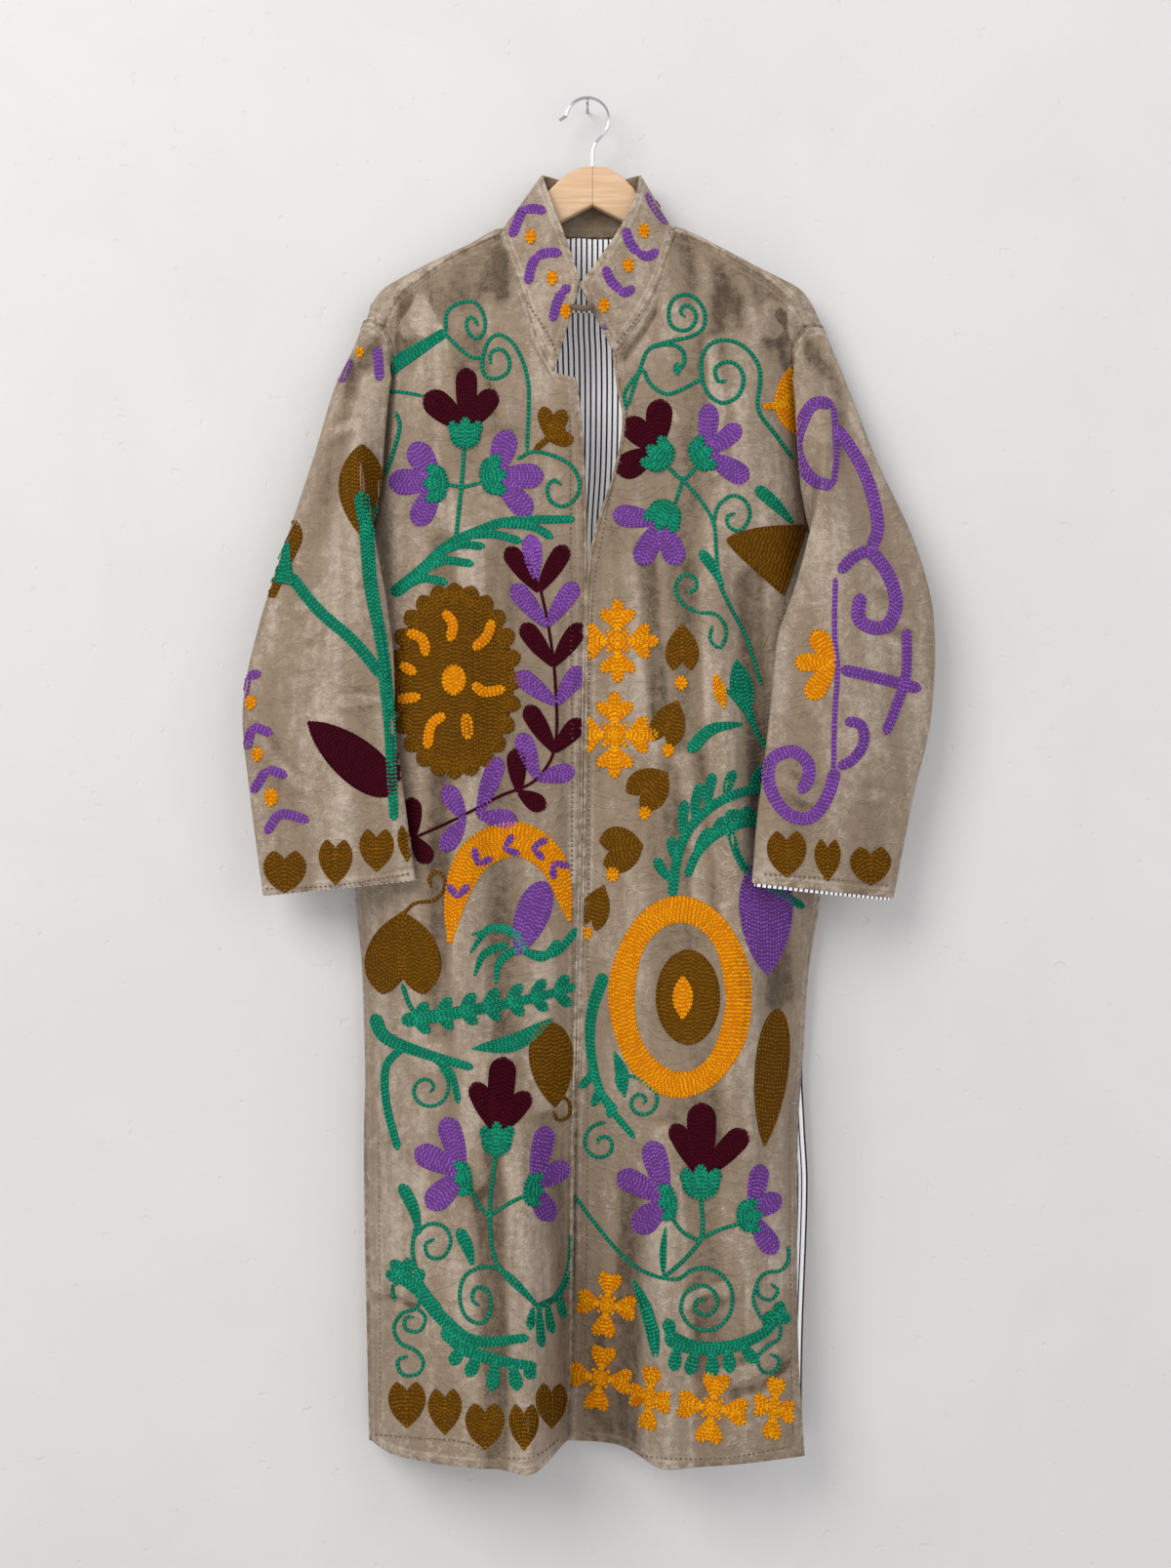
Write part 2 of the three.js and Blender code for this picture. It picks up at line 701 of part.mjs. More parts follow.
// ---------------------------------------------------------------- collar
const COLLAR_ROWS = 4;
const COLLAR_START_RIGHT = 2; // the collar starts this many lines in from the edge

// The neck seam and the collar's upper edge over it, from the right front's centre edge
// round the back to the left front's. On the fronts it follows their own lines.
function collarStations() {
  const overFront = (front, edge, first) =>
    range(FRONT_NECK_STEPS, 0, neckColumn(front)).slice(first).map((u) => {
      const drop = topDrop(front, u);
      const foot = point(frontX(front, u, drop), frontY(front, u, drop), drop);
      return { foot, edge };
    });
  const overBack = NECK_PLACES.map((x) => {
    const start = backStart(x);
    return { foot: point(x, start.y, start.drop), edge: COLLAR_BACK };
  });
  return [
    ...overFront(FRONT_RIGHT, COLLAR_RIGHT, COLLAR_START_RIGHT),
    ...overBack,
    ...overFront(FRONT_LEFT, COLLAR_LEFT, 0).reverse(),
  ];
}

function collarGrid() {
  return collarStations().map(({ foot, edge }) => {
    const value = (name) => through(edge.neckX, edge[name], foot.x);
    const top = point(value("x"), value("y"), value("drop"));
    const rise = top.clone().sub(foot);
    const start = foot.clone().addScaledVector(rise.normalize(), 5 * SEAM_GAP);
    return range(COLLAR_ROWS).map((t) => start.clone().lerp(top, t));
  });
}

function collarSolid() {
  const outer = collarGrid();
  const inner = movedAlong(outer, normalsOf(outer, false), COLLAR_WALL);
  return wallBetween(outer, inner, false);
}

function collarLoop() {
  const chain = along(
    [
      point(-14.5, -46.1, 212),
      point(-11, -53.5, 214),
      point(-4, -55, 215.5),
      point(2, -53.4, 214.5),
      point(5, -51.1, 212),
    ],
    range(10),
  );
  return rod(chain, LOOP_RADIUS, 8);
}

// ---------------------------------------------------------------- hanger
const WOOD_TOP_RIGHT = [
  [4.9, 65.6],
  [-9, 67.7],
  [-22, 74.3],
  [-35.5, 87.4],
  [-52, 104],
  [-66, 119.5],
  [-76, 129],
  [-84, 132.4],
  [-115, 145.3],
  [-146.3, 159.5],
  [-170, 173.5],
  [-181, 181.5],
];
const WOOD_UNDERSIDE = [
  [-150, 183],
  [-110, 163.5],
  [-54, 134.9],
  [-24, 119],
  [4.9, 104],
  [34, 119],
  [62, 134],
  [116, 160],
  [158, 181.5],
];
const WOOD_TOP_LEFT = [
  [165.3, 168.7],
  [133.9, 151],
  [102.6, 135.7],
  [90, 132.5],
  [83, 131.6],
  [76, 129],
  [70, 124],
  [60, 111],
  [45, 87.4],
  [32, 74.3],
  [19, 67.7],
];
const WOOD_END_RADIUS = 9;

// Points round an end of the wood, from one turn (degrees) to another.
function woodEnd(x, drop, side, from, to) {
  return range(8, from, to).map((turn) => {
    const a = THREE.MathUtils.degToRad(turn);
    return [
      x + side * WOOD_END_RADIUS * Math.cos(a),
      drop - WOOD_END_RADIUS * Math.sin(a),
    ];
  });
}

function woodSolid() {
  const outline = [
    ...WOOD_TOP_RIGHT,
    ...woodEnd(-183, 193, -1, 70, -110),
    ...WOOD_UNDERSIDE,
    ...woodEnd(191, 195, 1, -110, 70),
    ...WOOD_TOP_LEFT,
  ];
  const shape = new THREE.Shape(outline.map(([x, drop]) => new THREE.Vector2(x, -drop)));
  const geometry = new THREE.ExtrudeGeometry(shape, {
    depth: WOOD_THICKNESS - 2 * WOOD_EDGE_ROUND,
    bevelEnabled: true,
    bevelThickness: WOOD_EDGE_ROUND,
    bevelSize: WOOD_EDGE_ROUND,
    bevelOffset: -WOOD_EDGE_ROUND,
    bevelSegments: 2,
  });
  geometry.rotateX(Math.PI / 2);
  geometry.translate(0, WOOD_THICKNESS / 2 - WOOD_EDGE_ROUND, 0);
  return geometry;
}

// Bent wire: an upturned tip, a round bend over the nail, and a stem into the wood.
function hookSolid() {
  const centreDrop = HOOK_RADIUS - WIRE_RADIUS;
  const bend = range(26, 172, -28).map((turn) => {
    const a = THREE.MathUtils.degToRad(turn);
    return point(HOOK_RADIUS * Math.cos(a), 0, centreDrop - HOOK_RADIUS * Math.sin(a));
  });
  const [stemX, woodTop] = WOOD_TOP_RIGHT[0];
  const chain = [
    point(-27.2, 0, 20.5),
    point(-23.6, 0, 18),
    ...bend,
    point(14, 0, 35.5),
    point(8, 0, 42.5),
    point(stemX + 0.4, 0, 48.5),
    point(stemX, 0, 54),
    point(stemX, 0, woodTop - SEAM_GAP),
  ];
  return rod(chain, WIRE_RADIUS, 8);
}

// ---------------------------------------------------------------- the part
function finish(color, roughness, metalness = 0) {
  return new THREE.MeshStandardMaterial({ color, roughness, metalness });
}

function mesh(name, geometry, material) {
  const made = new THREE.Mesh(geometry, material);
  made.name = name;
  return made;
}

const velvet = finish(0x96877a, 0.9);
const lining = finish(0xd5d3d6, 0.8);
const wood = finish(0xe4be96, 0.55);
const steel = finish(0xb8b8b8, 0.3, 1);

const sleeveRightGrid = sleeveGrid(FRONT_RIGHT, HEAD_SEAM_RIGHT, SLEEVE_RIGHT);
const sleeveLeftGrid = sleeveGrid(FRONT_LEFT, HEAD_SEAM_LEFT, SLEEVE_LEFT);

const coat = new THREE.Group();
coat.add(
  mesh("front_right", frontSolid(FRONT_RIGHT), velvet),
  mesh("front_left", frontSolid(FRONT_LEFT), velvet),
  mesh("back", backSolid(), velvet),
  mesh("sleeve_right", sleeveSolid(sleeveRightGrid, -1), velvet),
  mesh("sleeve_left", sleeveSolid(sleeveLeftGrid, 1), velvet),
  mesh("cuff_lining_right", cuffLining(sleeveRightGrid, -1, 1.5), lining),
  mesh("cuff_lining_left", cuffLining(sleeveLeftGrid, 1, 4), lining),
  mesh("collar", collarSolid(), velvet),
  mesh("collar_loop", collarLoop(), velvet),
  mesh("lining_back", liningSolid(), lining),
  mesh("hanger_body", woodSolid(), wood),
  mesh("hanger_hook", hookSolid(), steel),
);

export default coat;
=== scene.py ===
"""A long embroidered velvet coat on a wooden hanger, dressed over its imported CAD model.

Millimetres until a mesh is made: +X to the wearer's left, -Y to the front, and "drop" is
the distance below the inside top of the hanger's hook, so z is minus the drop.
"""
import math
import bpy
import numpy as np
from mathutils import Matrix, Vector
from mathutils.bvhtree import BVHTree


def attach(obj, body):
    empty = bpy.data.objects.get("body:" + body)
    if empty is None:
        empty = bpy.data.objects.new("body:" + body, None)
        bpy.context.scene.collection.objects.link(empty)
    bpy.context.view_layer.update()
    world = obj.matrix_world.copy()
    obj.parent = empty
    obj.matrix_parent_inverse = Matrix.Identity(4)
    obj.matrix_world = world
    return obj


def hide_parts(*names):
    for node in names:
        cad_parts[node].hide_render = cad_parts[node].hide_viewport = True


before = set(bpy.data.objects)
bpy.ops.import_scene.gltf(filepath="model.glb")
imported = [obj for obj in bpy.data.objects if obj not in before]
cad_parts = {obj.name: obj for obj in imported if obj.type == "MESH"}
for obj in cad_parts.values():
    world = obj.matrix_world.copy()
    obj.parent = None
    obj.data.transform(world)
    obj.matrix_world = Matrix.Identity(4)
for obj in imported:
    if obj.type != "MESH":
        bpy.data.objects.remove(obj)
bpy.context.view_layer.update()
MM = 0.001
WALL = 2.0
LINING_WALL = 1.0
COLLAR_WALL = 3.0
SEAM_GAP = 0.3
HEM_DROP = 1309
NECK_HALF = 84
CUFF_LINING_LENGTH = 24
UNDERARM_DROP = 420
SLEEVE_CORNER_DROP = 224
CLOTH_STEP = 5.0

# ---------------------------------------------------------------- tables
def columns(names, rows):
    """A table of rows under named columns, as one array a name."""
    return dict(zip(names.split(), np.array(rows, float).T))


# Fronts: centre edge and side edge (x), then the y of the cloth along seven fold lines,
# from the centre edge to the side seam, a row for each level.
FOLDS = ["edge", "inner", "fold", "ridge", "outer", "flank", "seam"]
FRONT_COLUMNS = "drop centre side " + " ".join(FOLDS)

FRONT_RIGHT = dict(
    across=[0, 0.17, 0.33, 0.5, 0.72, 0.88, 1],
    levels=columns(FRONT_COLUMNS, [
        [135, -25, -197.4, -40, -32, -15, -12, -12, -12, -12],
        [193, -25, -197.4, -44, -38, -24, -20, -15, -12, -12],
        [224, -25, -197.4, -45, -42, -34, -28, -24, -17, -12],
        [240, -25, -190.5, -45, -43, -37, -31, -28, -15, -3],
        [290, -10.5, -196.7, -46, -46, -44, -40, -38, -22, 1],
        [366, -4, -203.7, -46, -48, -48, -47, -42, -28, 4],
        [427, -2, -211.7, -45, -48, -51, -52, -44, -26, 8],
        [478, -2, -213.7, -44, -49, -52, -54, -45, -25, 9],
        [571, -4, -220.5, -42, -50, -54, -58, -46, -24, 10],
        [709, -6, -225.4, -38, -50, -56, -62, -46, -22, 11],
        [772, -8, -227.3, -35, -51, -57, -64, -47, -21, 11],
        [847, -10.5, -220.7, -32, -52, -58, -66, -48, -20, 12],
        [985, -14.3, -216.9, -24, -58, -62, -68, -52, -24, 12],
        [1123, -16.3, -214.5, -12, -70, -72, -70, -56, -30, 12],
        [1214, -17.2, -213, -2, -78, -78, -72, -55, -30, 12],
        [1309, -18, -212, 8, -82, -82, -73, -53, -30, 12],
    ]),
    neckline=columns("x drop", [
        [-50.4, 238.6],
        [-64.8, 190.2],
        [-77.3, 156.1],
        [-84, 135.7],
    ]),
    neckFront=columns("x drop", [
        [-10, 280],
        [-22.4, 276.3],
        [-34.5, 271.5],
        [-50.4, 238.6],
    ]),
    shoulder=columns("x drop", [
        [-84, 133.5],
        [-114.3, 148],
        [-145.5, 165.3],
        [-162.5, 177.6],
        [-178.5, 188.5],
        [-188.9, 205],
        [-197.4, 223.8],
    ]),
)

FRONT_LEFT = dict(
    across=[0, 0.2, 0.41, 0.58, 0.73, 0.87, 1],
    levels=columns(FRONT_COLUMNS, [
        [135, 23.5, 209.7, -40, -30, -13, -12, -12, -12, -12],
        [193, 23.5, 209.7, -44, -38, -26, -20, -15, -12, -12],
        [224, 23.5, 209.7, -45, -42, -34, -28, -24, -17, -12],
        [240, 23.5, 200.3, -45, -44, -38, -33, -30, -17, -4],
        [290, 29.7, 204.4, -46, -46, -42, -42, -38, -24, 2],
        [319, 35, 206, -46, -47, -43, -44, -40, -25, 3],
        [366, 27, 209.4, -47, -47, -45, -48, -42, -26, 4],
        [427, 8, 217.4, -46, -48, -48, -54, -44, -26, 8],
        [478, 0, 221.3, -45, -49, -50, -57, -44, -25, 9],
        [571, -1, 226.2, -44, -50, -52, -60, -46, -24, 10],
        [709, -2.8, 229.1, -40, -50, -56, -66, -48, -22, 10],
        [772, -4, 228, -37, -50, -57, -66, -56, -24, 9],
        [847, -6.6, 216.5, -33, -50, -58, -66, -64, -30, 9],
        [939, -10.4, 210.3, -24, -47, -58, -65, -67, -38, 9],
        [967, -11.6, 208, -21, -46, -58, -64, -67, -41, 8],
        [1000, -12.8, 205, -16, -43, -60, -64, -66, -45, -2],
        [1123, -14.7, 201.5, 2, -30, -70, -66, -66, -54, -28],
        [1214, -16.2, 202.2, 8, -16, -74, -68, -64, -54, -35],
        [1309, -22, 207.7, 13, 0, -72, -70, -62, -50, -37],
    ]),
    neckline=columns("x drop", [
        [49.4, 224.6],
        [65.7, 192.1],
        [76.3, 158.9],
        [84, 135.7],
    ]),
    neckFront=columns("x drop", [
        [15, 257],
        [23.2, 255.2],
        [27.9, 253.8],
        [49.4, 224.6],
    ]),
    shoulder=columns("x drop", [
        [84, 133.5],
        [106.7, 139.8],
        [133.2, 153.9],
        [164.4, 171.9],
        [178.5, 181.3],
        [194.6, 196.5],
        [202.1, 205.9],
        [209.7, 223.8],
    ]),
)

# Back: its two side edges (x) and the y of its outer face along seven lines.
BACK = dict(
    across=[0, 0.15, 0.35, 0.5, 0.65, 0.85, 1],
    levels=columns("drop right left seamR bladeR valleyR middle valleyL bladeL seamL", [
        [135, -220.5, 231.9, 10, 16, 17, 19, 17, 16, 10],
        [220, -220.5, 231.9, 10, 17, 18, 20, 18, 17, 10],
        [242, -219.9, 233.3, 13, 19, 18, 21, 19, 19, 13],
        [285, -218.2, 232.6, 15, 21, 19, 22, 19, 21, 15],
        [357, -215.1, 227.6, 14, 23, 18, 23, 18, 23, 14],
        [420, -211.7, 217.4, 10.5, 24, 17, 23, 18, 24, 10.5],
        [478, -213.7, 221.3, 11.5, 25, 17, 23, 18, 25, 11.5],
        [571, -220.5, 226.2, 12.5, 25, 16, 24, 17, 26, 12.5],
        [709, -225.4, 229.1, 13.5, 24, 18, 25, 17, 26, 12.5],
        [772, -227.3, 228, 13.5, 24, 19, 26, 17, 25, 11.5],
        [847, -220.7, 216.5, 14.5, 25, 18, 27, 18, 25, 11.5],
        [939, -217.5, 210.5, 14.5, 26, 18, 27, 19, 25, 11.5],
        [1000, -219, 213, 14.6, 26, 18, 27, 20, 25, 13],
        [1060, -219, 216, 14.6, 26, 19, 26, 20, 26, 15],
        [1214, -216, 211, 14.6, 27, 20, 25, 22, 27, 15],
        [1309, -214, 210, 14.6, 28, 20, 25, 22, 28, 15],
    ]),
)

# Highest line of the shoulders over the hanger, from the neck out to the sleeve heads.
SHOULDER_TOP = columns("x drop", [
    [-216.8, 214.2],
    [-213.8, 206.1],
    [-208, 195.7],
    [-198.5, 184.3],
    [-186.2, 176.7],
    [-170.1, 167.9],
    [-146.3, 156.1],
    [-115, 141.9],
    [-84, 126],
    [84, 125],
    [102.6, 131.1],
    [133.9, 147.2],
    [165.3, 163.4],
    [189, 174.8],
    [204.7, 183.3],
    [212.8, 190.9],
    [220.4, 203.3],
    [228, 219.8],
])

# Seam of the sleeve head over the shoulder's end, from the front corner to the back.
HEAD_SEAM_RIGHT = columns("x y drop", [
    [-220.5, 10, 220.2],
    [-216.8, 2, 214.2],
    [-208.4, -6, 216.4],
    [-197.4, -12, 223.5],
])
HEAD_SEAM_LEFT = columns("x y drop", [
    [209.7, -12, 223.5],
    [219.8, -6, 219.7],
    [228.2, 2, 219.8],
    [231.9, 10, 225.9],
])

# Seam of the collar round the back of the neck.
BACK_NECK = columns("x y drop", [
    [-83, 2, 126],
    [-77.3, 9, 126],
    [-64, 14, 130],
    [-26, 18, 131.3],
    [2, 19, 132],
    [31, 18, 131.3],
    [63, 14, 130],
    [77.3, 9, 126],
    [83, 2, 126],
])

# Upper edge of the collar, in three stretches, over the places on the neck seam (neckX).
COLLAR_RIGHT = columns("neckX x y drop", [
    [-34.5, -6.6, -44, 186.8],
    [-50.4, -16.8, -38, 156.5],
    [-64.8, -27.2, -26, 124.5],
    [-77.3, -36.8, -15, 97.1],
    [-84, -43.6, -6, 77.6],
])
COLLAR_BACK = columns("neckX x y drop", [
    [-83, -44.5, 1, 73.5],
    [-77.3, -40.1, 8, 72.5],
    [-64, -32.5, 11, 74.5],
    [-26, -13.4, 13.5, 77.8],
    [2, 2.9, 14.5, 79.5],
    [31, 19.1, 13.5, 77.8],
    [63, 40.1, 11, 74.5],
    [77.3, 47.7, 8, 72.5],
    [83, 52, 1, 73.5],
])
COLLAR_LEFT = columns("neckX x y drop", [
    [84, 51.1, -6, 77.6],
    [76.3, 45.2, -17, 102.4],
    [65.7, 31.8, -29, 130.6],
    [49.4, 13, -41, 161.7],
    [25, -7.5, -50, 190.8],
])

# Sleeves: the outer and inner fold of each section, how far the cloth stands before and
# behind the line between them at three places, and how far the back swings outward.
SLEEVE_COLUMNS = "outX outY outDrop inX inY inDrop f1 f2 f3 b3 b2 b1 swing"
SLEEVE_RIGHT = columns(SLEEVE_COLUMNS, [
    [-229, 2, 242, -217, -3, 438, 14, 32, 22, 12, 16, 15, 7],
    [-244, 0, 275, -194, -30, 487, 18, 42, 28, 12, 17, 15, 16],
    [-266, -4, 345, -185, -42, 528, 20, 40, 26, 12, 18, 16, 7],
    [-290, -8, 417, -182, -47, 570, 20, 36, 22, 10, 16, 15, 0],
    [-321, -14, 517, -181, -52, 619, 18, 28, 18, 8, 14, 14, 0],
    [-334, -18, 592, -176, -55, 654, 16, 24, 16, 8, 14, 13, 0],
    [-327, -20, 668, -169, -58, 709, 15, 20, 15, 8, 13, 13, 0],
    [-313, -22, 774, -162, -60, 757, 14, 18, 14, 8, 13, 13, 0],
])
SLEEVE_LEFT = columns(SLEEVE_COLUMNS, [
    [241, 2, 247, 224, -3, 438, 14, 32, 22, 12, 17, 17, 10],
    [258, 0, 292, 197, -31, 487, 18, 40, 28, 12, 17, 15, 18],
    [284, -4, 355, 180, -46, 524, 20, 38, 26, 11, 18, 16, 8],
    [319, -10, 431, 174, -52, 566, 20, 32, 22, 9, 15, 15, 0],
    [337, -16, 505, 169, -58, 612, 18, 26, 18, 7, 13, 14, 0],
    [332, -20, 606, 164, -64, 659, 16, 22, 16, 7, 12, 13, 0],
    [316, -22, 671, 158, -70, 709, 15, 19, 15, 7, 12, 13, 0],
    [295, -24, 776, 154, -74, 759, 14, 18, 14, 7, 12, 13, 0],
])

# ---------------------------------------------------------------- camera and creases
CAMERA_PLACE = (-0.0019, -2.120, -0.6664)
# half-width, height (towards the viewer), then a chain of (x, drop), all in mm
CREASES_RIGHT = [
    (14, 7.2, [(-111, 441), (-111, 570), (-113, 756), (-110, 941), (-108, 1034)]),
    (17, -5.2, [(-138, 441), (-141, 570), (-141, 756), (-141, 895)]),
    (18, 10.8, [(-90, 932), (-71, 1022), (-63, 1059), (-59, 1121), (-57, 1158), (-49, 1209), (-50, 1318)]),
    (16, -9, [(-39, 988), (-33, 1062), (-26, 1155), (-20, 1248), (-19, 1322)]),
    (14, -4.5, [(-95, 1062), (-92, 1155), (-87, 1248), (-85, 1322)]),
    (5, -4.5, [(-62, 204), (-52, 237), (-35, 270)]),
    (6, -5.2, [(-174, 198), (-181, 214), (-185, 245), (-189, 265)]),
    (9, 2, [(-160, 199), (-145, 246), (-139, 301)]),
    (8, -1.4, [(-146, 199), (-130, 236), (-122, 283)]),
    (7, 1.3, [(-95, 199), (-90, 255), (-76, 320)]),
    (5, 3.2, [(-210, 1155), (-187, 1146), (-161, 1151)]),
    (5, 2.9, [(-210, 1179), (-184, 1170)]),
    (5, 2.9, [(-208, 1123), (-187, 1118)]),
    (5, -2.4, [(-210, 1167), (-186, 1158), (-165, 1162)]),
    (6, 3.2, [(-201, 839), (-183, 849), (-164, 867)]),
    (5, 2.7, [(-206, 1016), (-191, 1021), (-169, 1016)]),
    (5, 2.7, [(-90, 867), (-95, 941), (-102, 1006)]),
    (4, 2.3, [(-16, 496), (-15, 626), (-13, 756)]),
]
CREASES_LEFT = [
    (14, 9, [(121, 478), (127, 607), (134, 691), (140, 781), (150, 881), (149, 942), (151, 1016)]),
    (20, -9, [(154, 478), (161, 607), (169, 691), (176, 784), (180, 867)]),
    (14, 9, [(76, 1006), (72, 1081), (69, 1220), (68, 1316)]),
    (14, -6, [(44, 1053), (43, 1127), (41, 1220), (38, 1316)]),
    (7, 3.6, [(153, 969), (156, 1090), (160, 1216)]),
    (5, -4.5, [(64, 211), (53, 234), (35, 257)]),
    (6, -5.2, [(186, 214), (192, 237), (196, 265)]),
    (8, 1.8, [(109, 148), (113, 185), (106, 227)]),
    (7, -1.1, [(126, 153), (130, 190), (124, 227)]),
    (8, 1.8, [(151, 181), (158, 227), (176, 274)]),
    (6, 2.9, [(119, 246), (124, 311), (122, 366)]),
    (10, -3.8, [(56, 441), (61, 515), (69, 607)]),
    (10, 4, [(91, 645), (102, 719), (106, 793)]),
    (5, 2.7, [(184, 1201), (156, 1220), (128, 1223)]),
    (5, -2.1, [(189, 1220), (165, 1238), (137, 1242)]),
    (5, 2.7, [(91, 1155), (109, 1144), (137, 1142)]),
]
CREASES_SLEEVE_RIGHT = [
    (6, 1.8, [(-219, 441), (-243, 478), (-271, 496)]),
    (7, -1.5, [(-217, 478), (-238, 515), (-263, 533)]),
    (6, 1.6, [(-280, 357), (-252, 329), (-223, 320)]),
    (6, 1.6, [(-315, 626), (-280, 663), (-234, 682)]),
    (5, 1.4, [(-280, 570), (-243, 589), (-206, 585)]),
    (7, -1.4, [(-252, 199), (-234, 236), (-225, 292)]),
]
CREASES_SLEEVE_LEFT = [
    (6, 1.8, [(237, 441), (267, 468), (295, 478)]),
    (7, -1.5, [(239, 478), (267, 515), (304, 524)]),
    (6, 1.6, [(258, 311), (281, 348), (295, 385)]),
    (6, 1.6, [(184, 663), (221, 682), (276, 677)]),
    (5, 1.4, [(211, 589), (230, 607), (226, 654)]),
    (7, -1.4, [(249, 218), (241, 264), (247, 311)]),
]


# ---------------------------------------------------------------- curves
def through(xs, ys, x):
    """Value at x of the smooth line through (xs, ys); ys may hold a column for each x."""
    xs = np.asarray(xs, float)
    ys = np.asarray(ys, float)
    x = np.asarray(x, float)
    if xs[-1] < xs[0]:
        xs, ys = xs[::-1], ys[::-1]
    if ys.ndim == 1:
        ys = ys.reshape((-1,) + (1,) * x.ndim) * np.ones(x.shape)
    last = len(xs) - 1
    k = np.arange(last + 1)
    before, after = np.maximum(k - 1, 0), np.minimum(k + 1, last)
    spans = (xs[after] - xs[before]).reshape((-1,) + (1,) * x.ndim)
    slopes = (ys[after] - ys[before]) / spans
    i = np.clip(np.searchsorted(xs, x) - 1, 0, last - 1)

    def pick(values, index):
        return np.take_along_axis(values, index[None], 0)[0]

    step = xs[i + 1] - xs[i]
    t = np.clip((x - xs[i]) / step, 0, 1)
    tt, ttt = t * t, t * t * t
    return (
        (2 * ttt - 3 * tt + 1) * pick(ys, i)
        + (ttt - 2 * tt + t) * step * pick(slopes, i)
        + (3 * tt - 2 * ttt) * pick(ys, i + 1)
        + (ttt - tt) * step * pick(slopes, i + 1)
    )


def lerp(a, b, t):
    return a + (b - a) * t


def along(chain, fractions):
    """Points at the given fractions of the length of a chain of points."""
    chain = np.asarray(chain, float)
    run = np.concatenate([[0], np.cumsum(np.linalg.norm(np.diff(chain, axis=0), axis=1))])
    at = np.asarray(fractions, float) * run[-1]
    return np.stack([np.interp(at, run, chain[:, axis]) for axis in range(3)], axis=-1)


def unit(vectors):
    return vectors / np.maximum(np.linalg.norm(vectors, axis=-1, keepdims=True), 1e-9)


def normals_of(grid, is_round):
    """Normals of a grid of points, lines first, from its neighbours' differences."""
    if is_round:
        across = np.roll(grid, -1, axis=0) - np.roll(grid, 1, axis=0)
    else:
        across = np.gradient(grid, axis=0)
    return unit(np.cross(across, np.gradient(grid, axis=1)))


# ---------------------------------------------------------------- creases
# A crease is a soft ridge (height > 0, towards the viewer) or hollow (< 0) along a chain of
# (x, drop) points, as wide as its half-width.
def crease_relief(creases, x, drop):
    total = np.zeros(np.shape(x))
    for half_width, height, chain in creases:
        chain = np.array(chain, float)
        nearest = np.full(np.shape(x), 1e9)
        for (ax, ad), (bx, bd) in zip(chain[:-1], chain[1:]):
            length = max((bx - ax) ** 2 + (bd - ad) ** 2, 1e-6)
            t = np.clip(((x - ax) * (bx - ax) + (drop - ad) * (bd - ad)) / length, 0, 1)
            away = np.hypot(x - ax - t * (bx - ax), drop - ad - t * (bd - ad))
            nearest = np.minimum(nearest, away)
        total += height * np.exp(-((nearest / half_width) ** 2))
    return total


# ---------------------------------------------------------------- fronts
def front_x(front, u, drop):
    levels = front["levels"]
    centre = through(levels["drop"], levels["centre"], drop)
    side = through(levels["drop"], levels["side"], drop)
    return lerp(centre, side, u)


def front_y(front, u, drop):
    levels = front["levels"]
    folds = np.stack([through(levels["drop"], levels[fold], drop) for fold in FOLDS])
    return through(front["across"], folds, u)


def upper_edge(front, x):
    """Drop of a front's upper edge above the place x: neckline, then shoulder seam."""
    x = np.asarray(x, float)
    reach = np.abs(x)
    neckline, neck_front, shoulder = front["neckline"], front["neckFront"], front["shoulder"]
    return np.where(
        reach >= NECK_HALF,
        through(shoulder["x"], shoulder["drop"], x),
        np.where(
            reach < abs(neckline["x"][0]),
            through(neck_front["x"], neck_front["drop"], x),
            through(neckline["x"], neckline["drop"], x),
        ),
    )


def top_drop(front, u):
    drop = np.full(np.shape(u), 200.0)
    for _ in range(60):
        drop = lerp(drop, upper_edge(front, front_x(front, u, drop)), 0.4)
    return drop


def neck_column(front):
    centre, side = front["levels"]["centre"][0], front["levels"]["side"][0]
    return (np.sign(side) * NECK_HALF - centre) / (side - centre)


def front_us(front, neck_steps, shoulder_steps):
    neck = neck_column(front)
    return np.concatenate([
        np.linspace(0, neck, neck_steps + 1),
        np.linspace(neck, 1, shoulder_steps + 1)[1:],
    ])


def front_grid(front, creases, neck_steps=16, shoulder_steps=27, rows=230):
    us = front_us(front, neck_steps, shoulder_steps)
    top = top_drop(front, us)
    t = np.linspace(0, 1, rows + 1)
    drop = lerp(top[:, None], HEM_DROP, t[None, :])
    u = np.repeat(us[:, None], rows + 1, axis=1)
    x = front_x(front, u, drop)
    # a crease fades out at the seams, where the panel meets its neighbours
    fade = np.clip((1 - u) / 0.08, 0, 1) * np.clip((drop - top[:, None]) / 25, 0, 1)
    y = front_y(front, u, drop) - crease_relief(creases, x, drop) * fade
    return np.stack([x, y, -drop], axis=-1)


# ---------------------------------------------------------------- back
BACK_LINES = "seamR bladeR valleyR middle valleyL bladeL seamL".split(" ")


def back_u(x):
    levels = BACK["levels"]
    return (x - levels["right"][0]) / (levels["left"][0] - levels["right"][0])


def back_x(x, drop):
    levels = BACK["levels"]
    right = through(levels["drop"], levels["right"], drop)
    left = through(levels["drop"], levels["left"], drop)
    return lerp(right, left, back_u(x))


def back_y(x, drop):
    levels = BACK["levels"]
    drop = np.atleast_1d(np.asarray(drop, float))
    lines = np.stack([through(levels["drop"], levels[line], drop) for line in BACK_LINES])
    return through(BACK["across"], lines, np.full(drop.shape, back_u(x)))


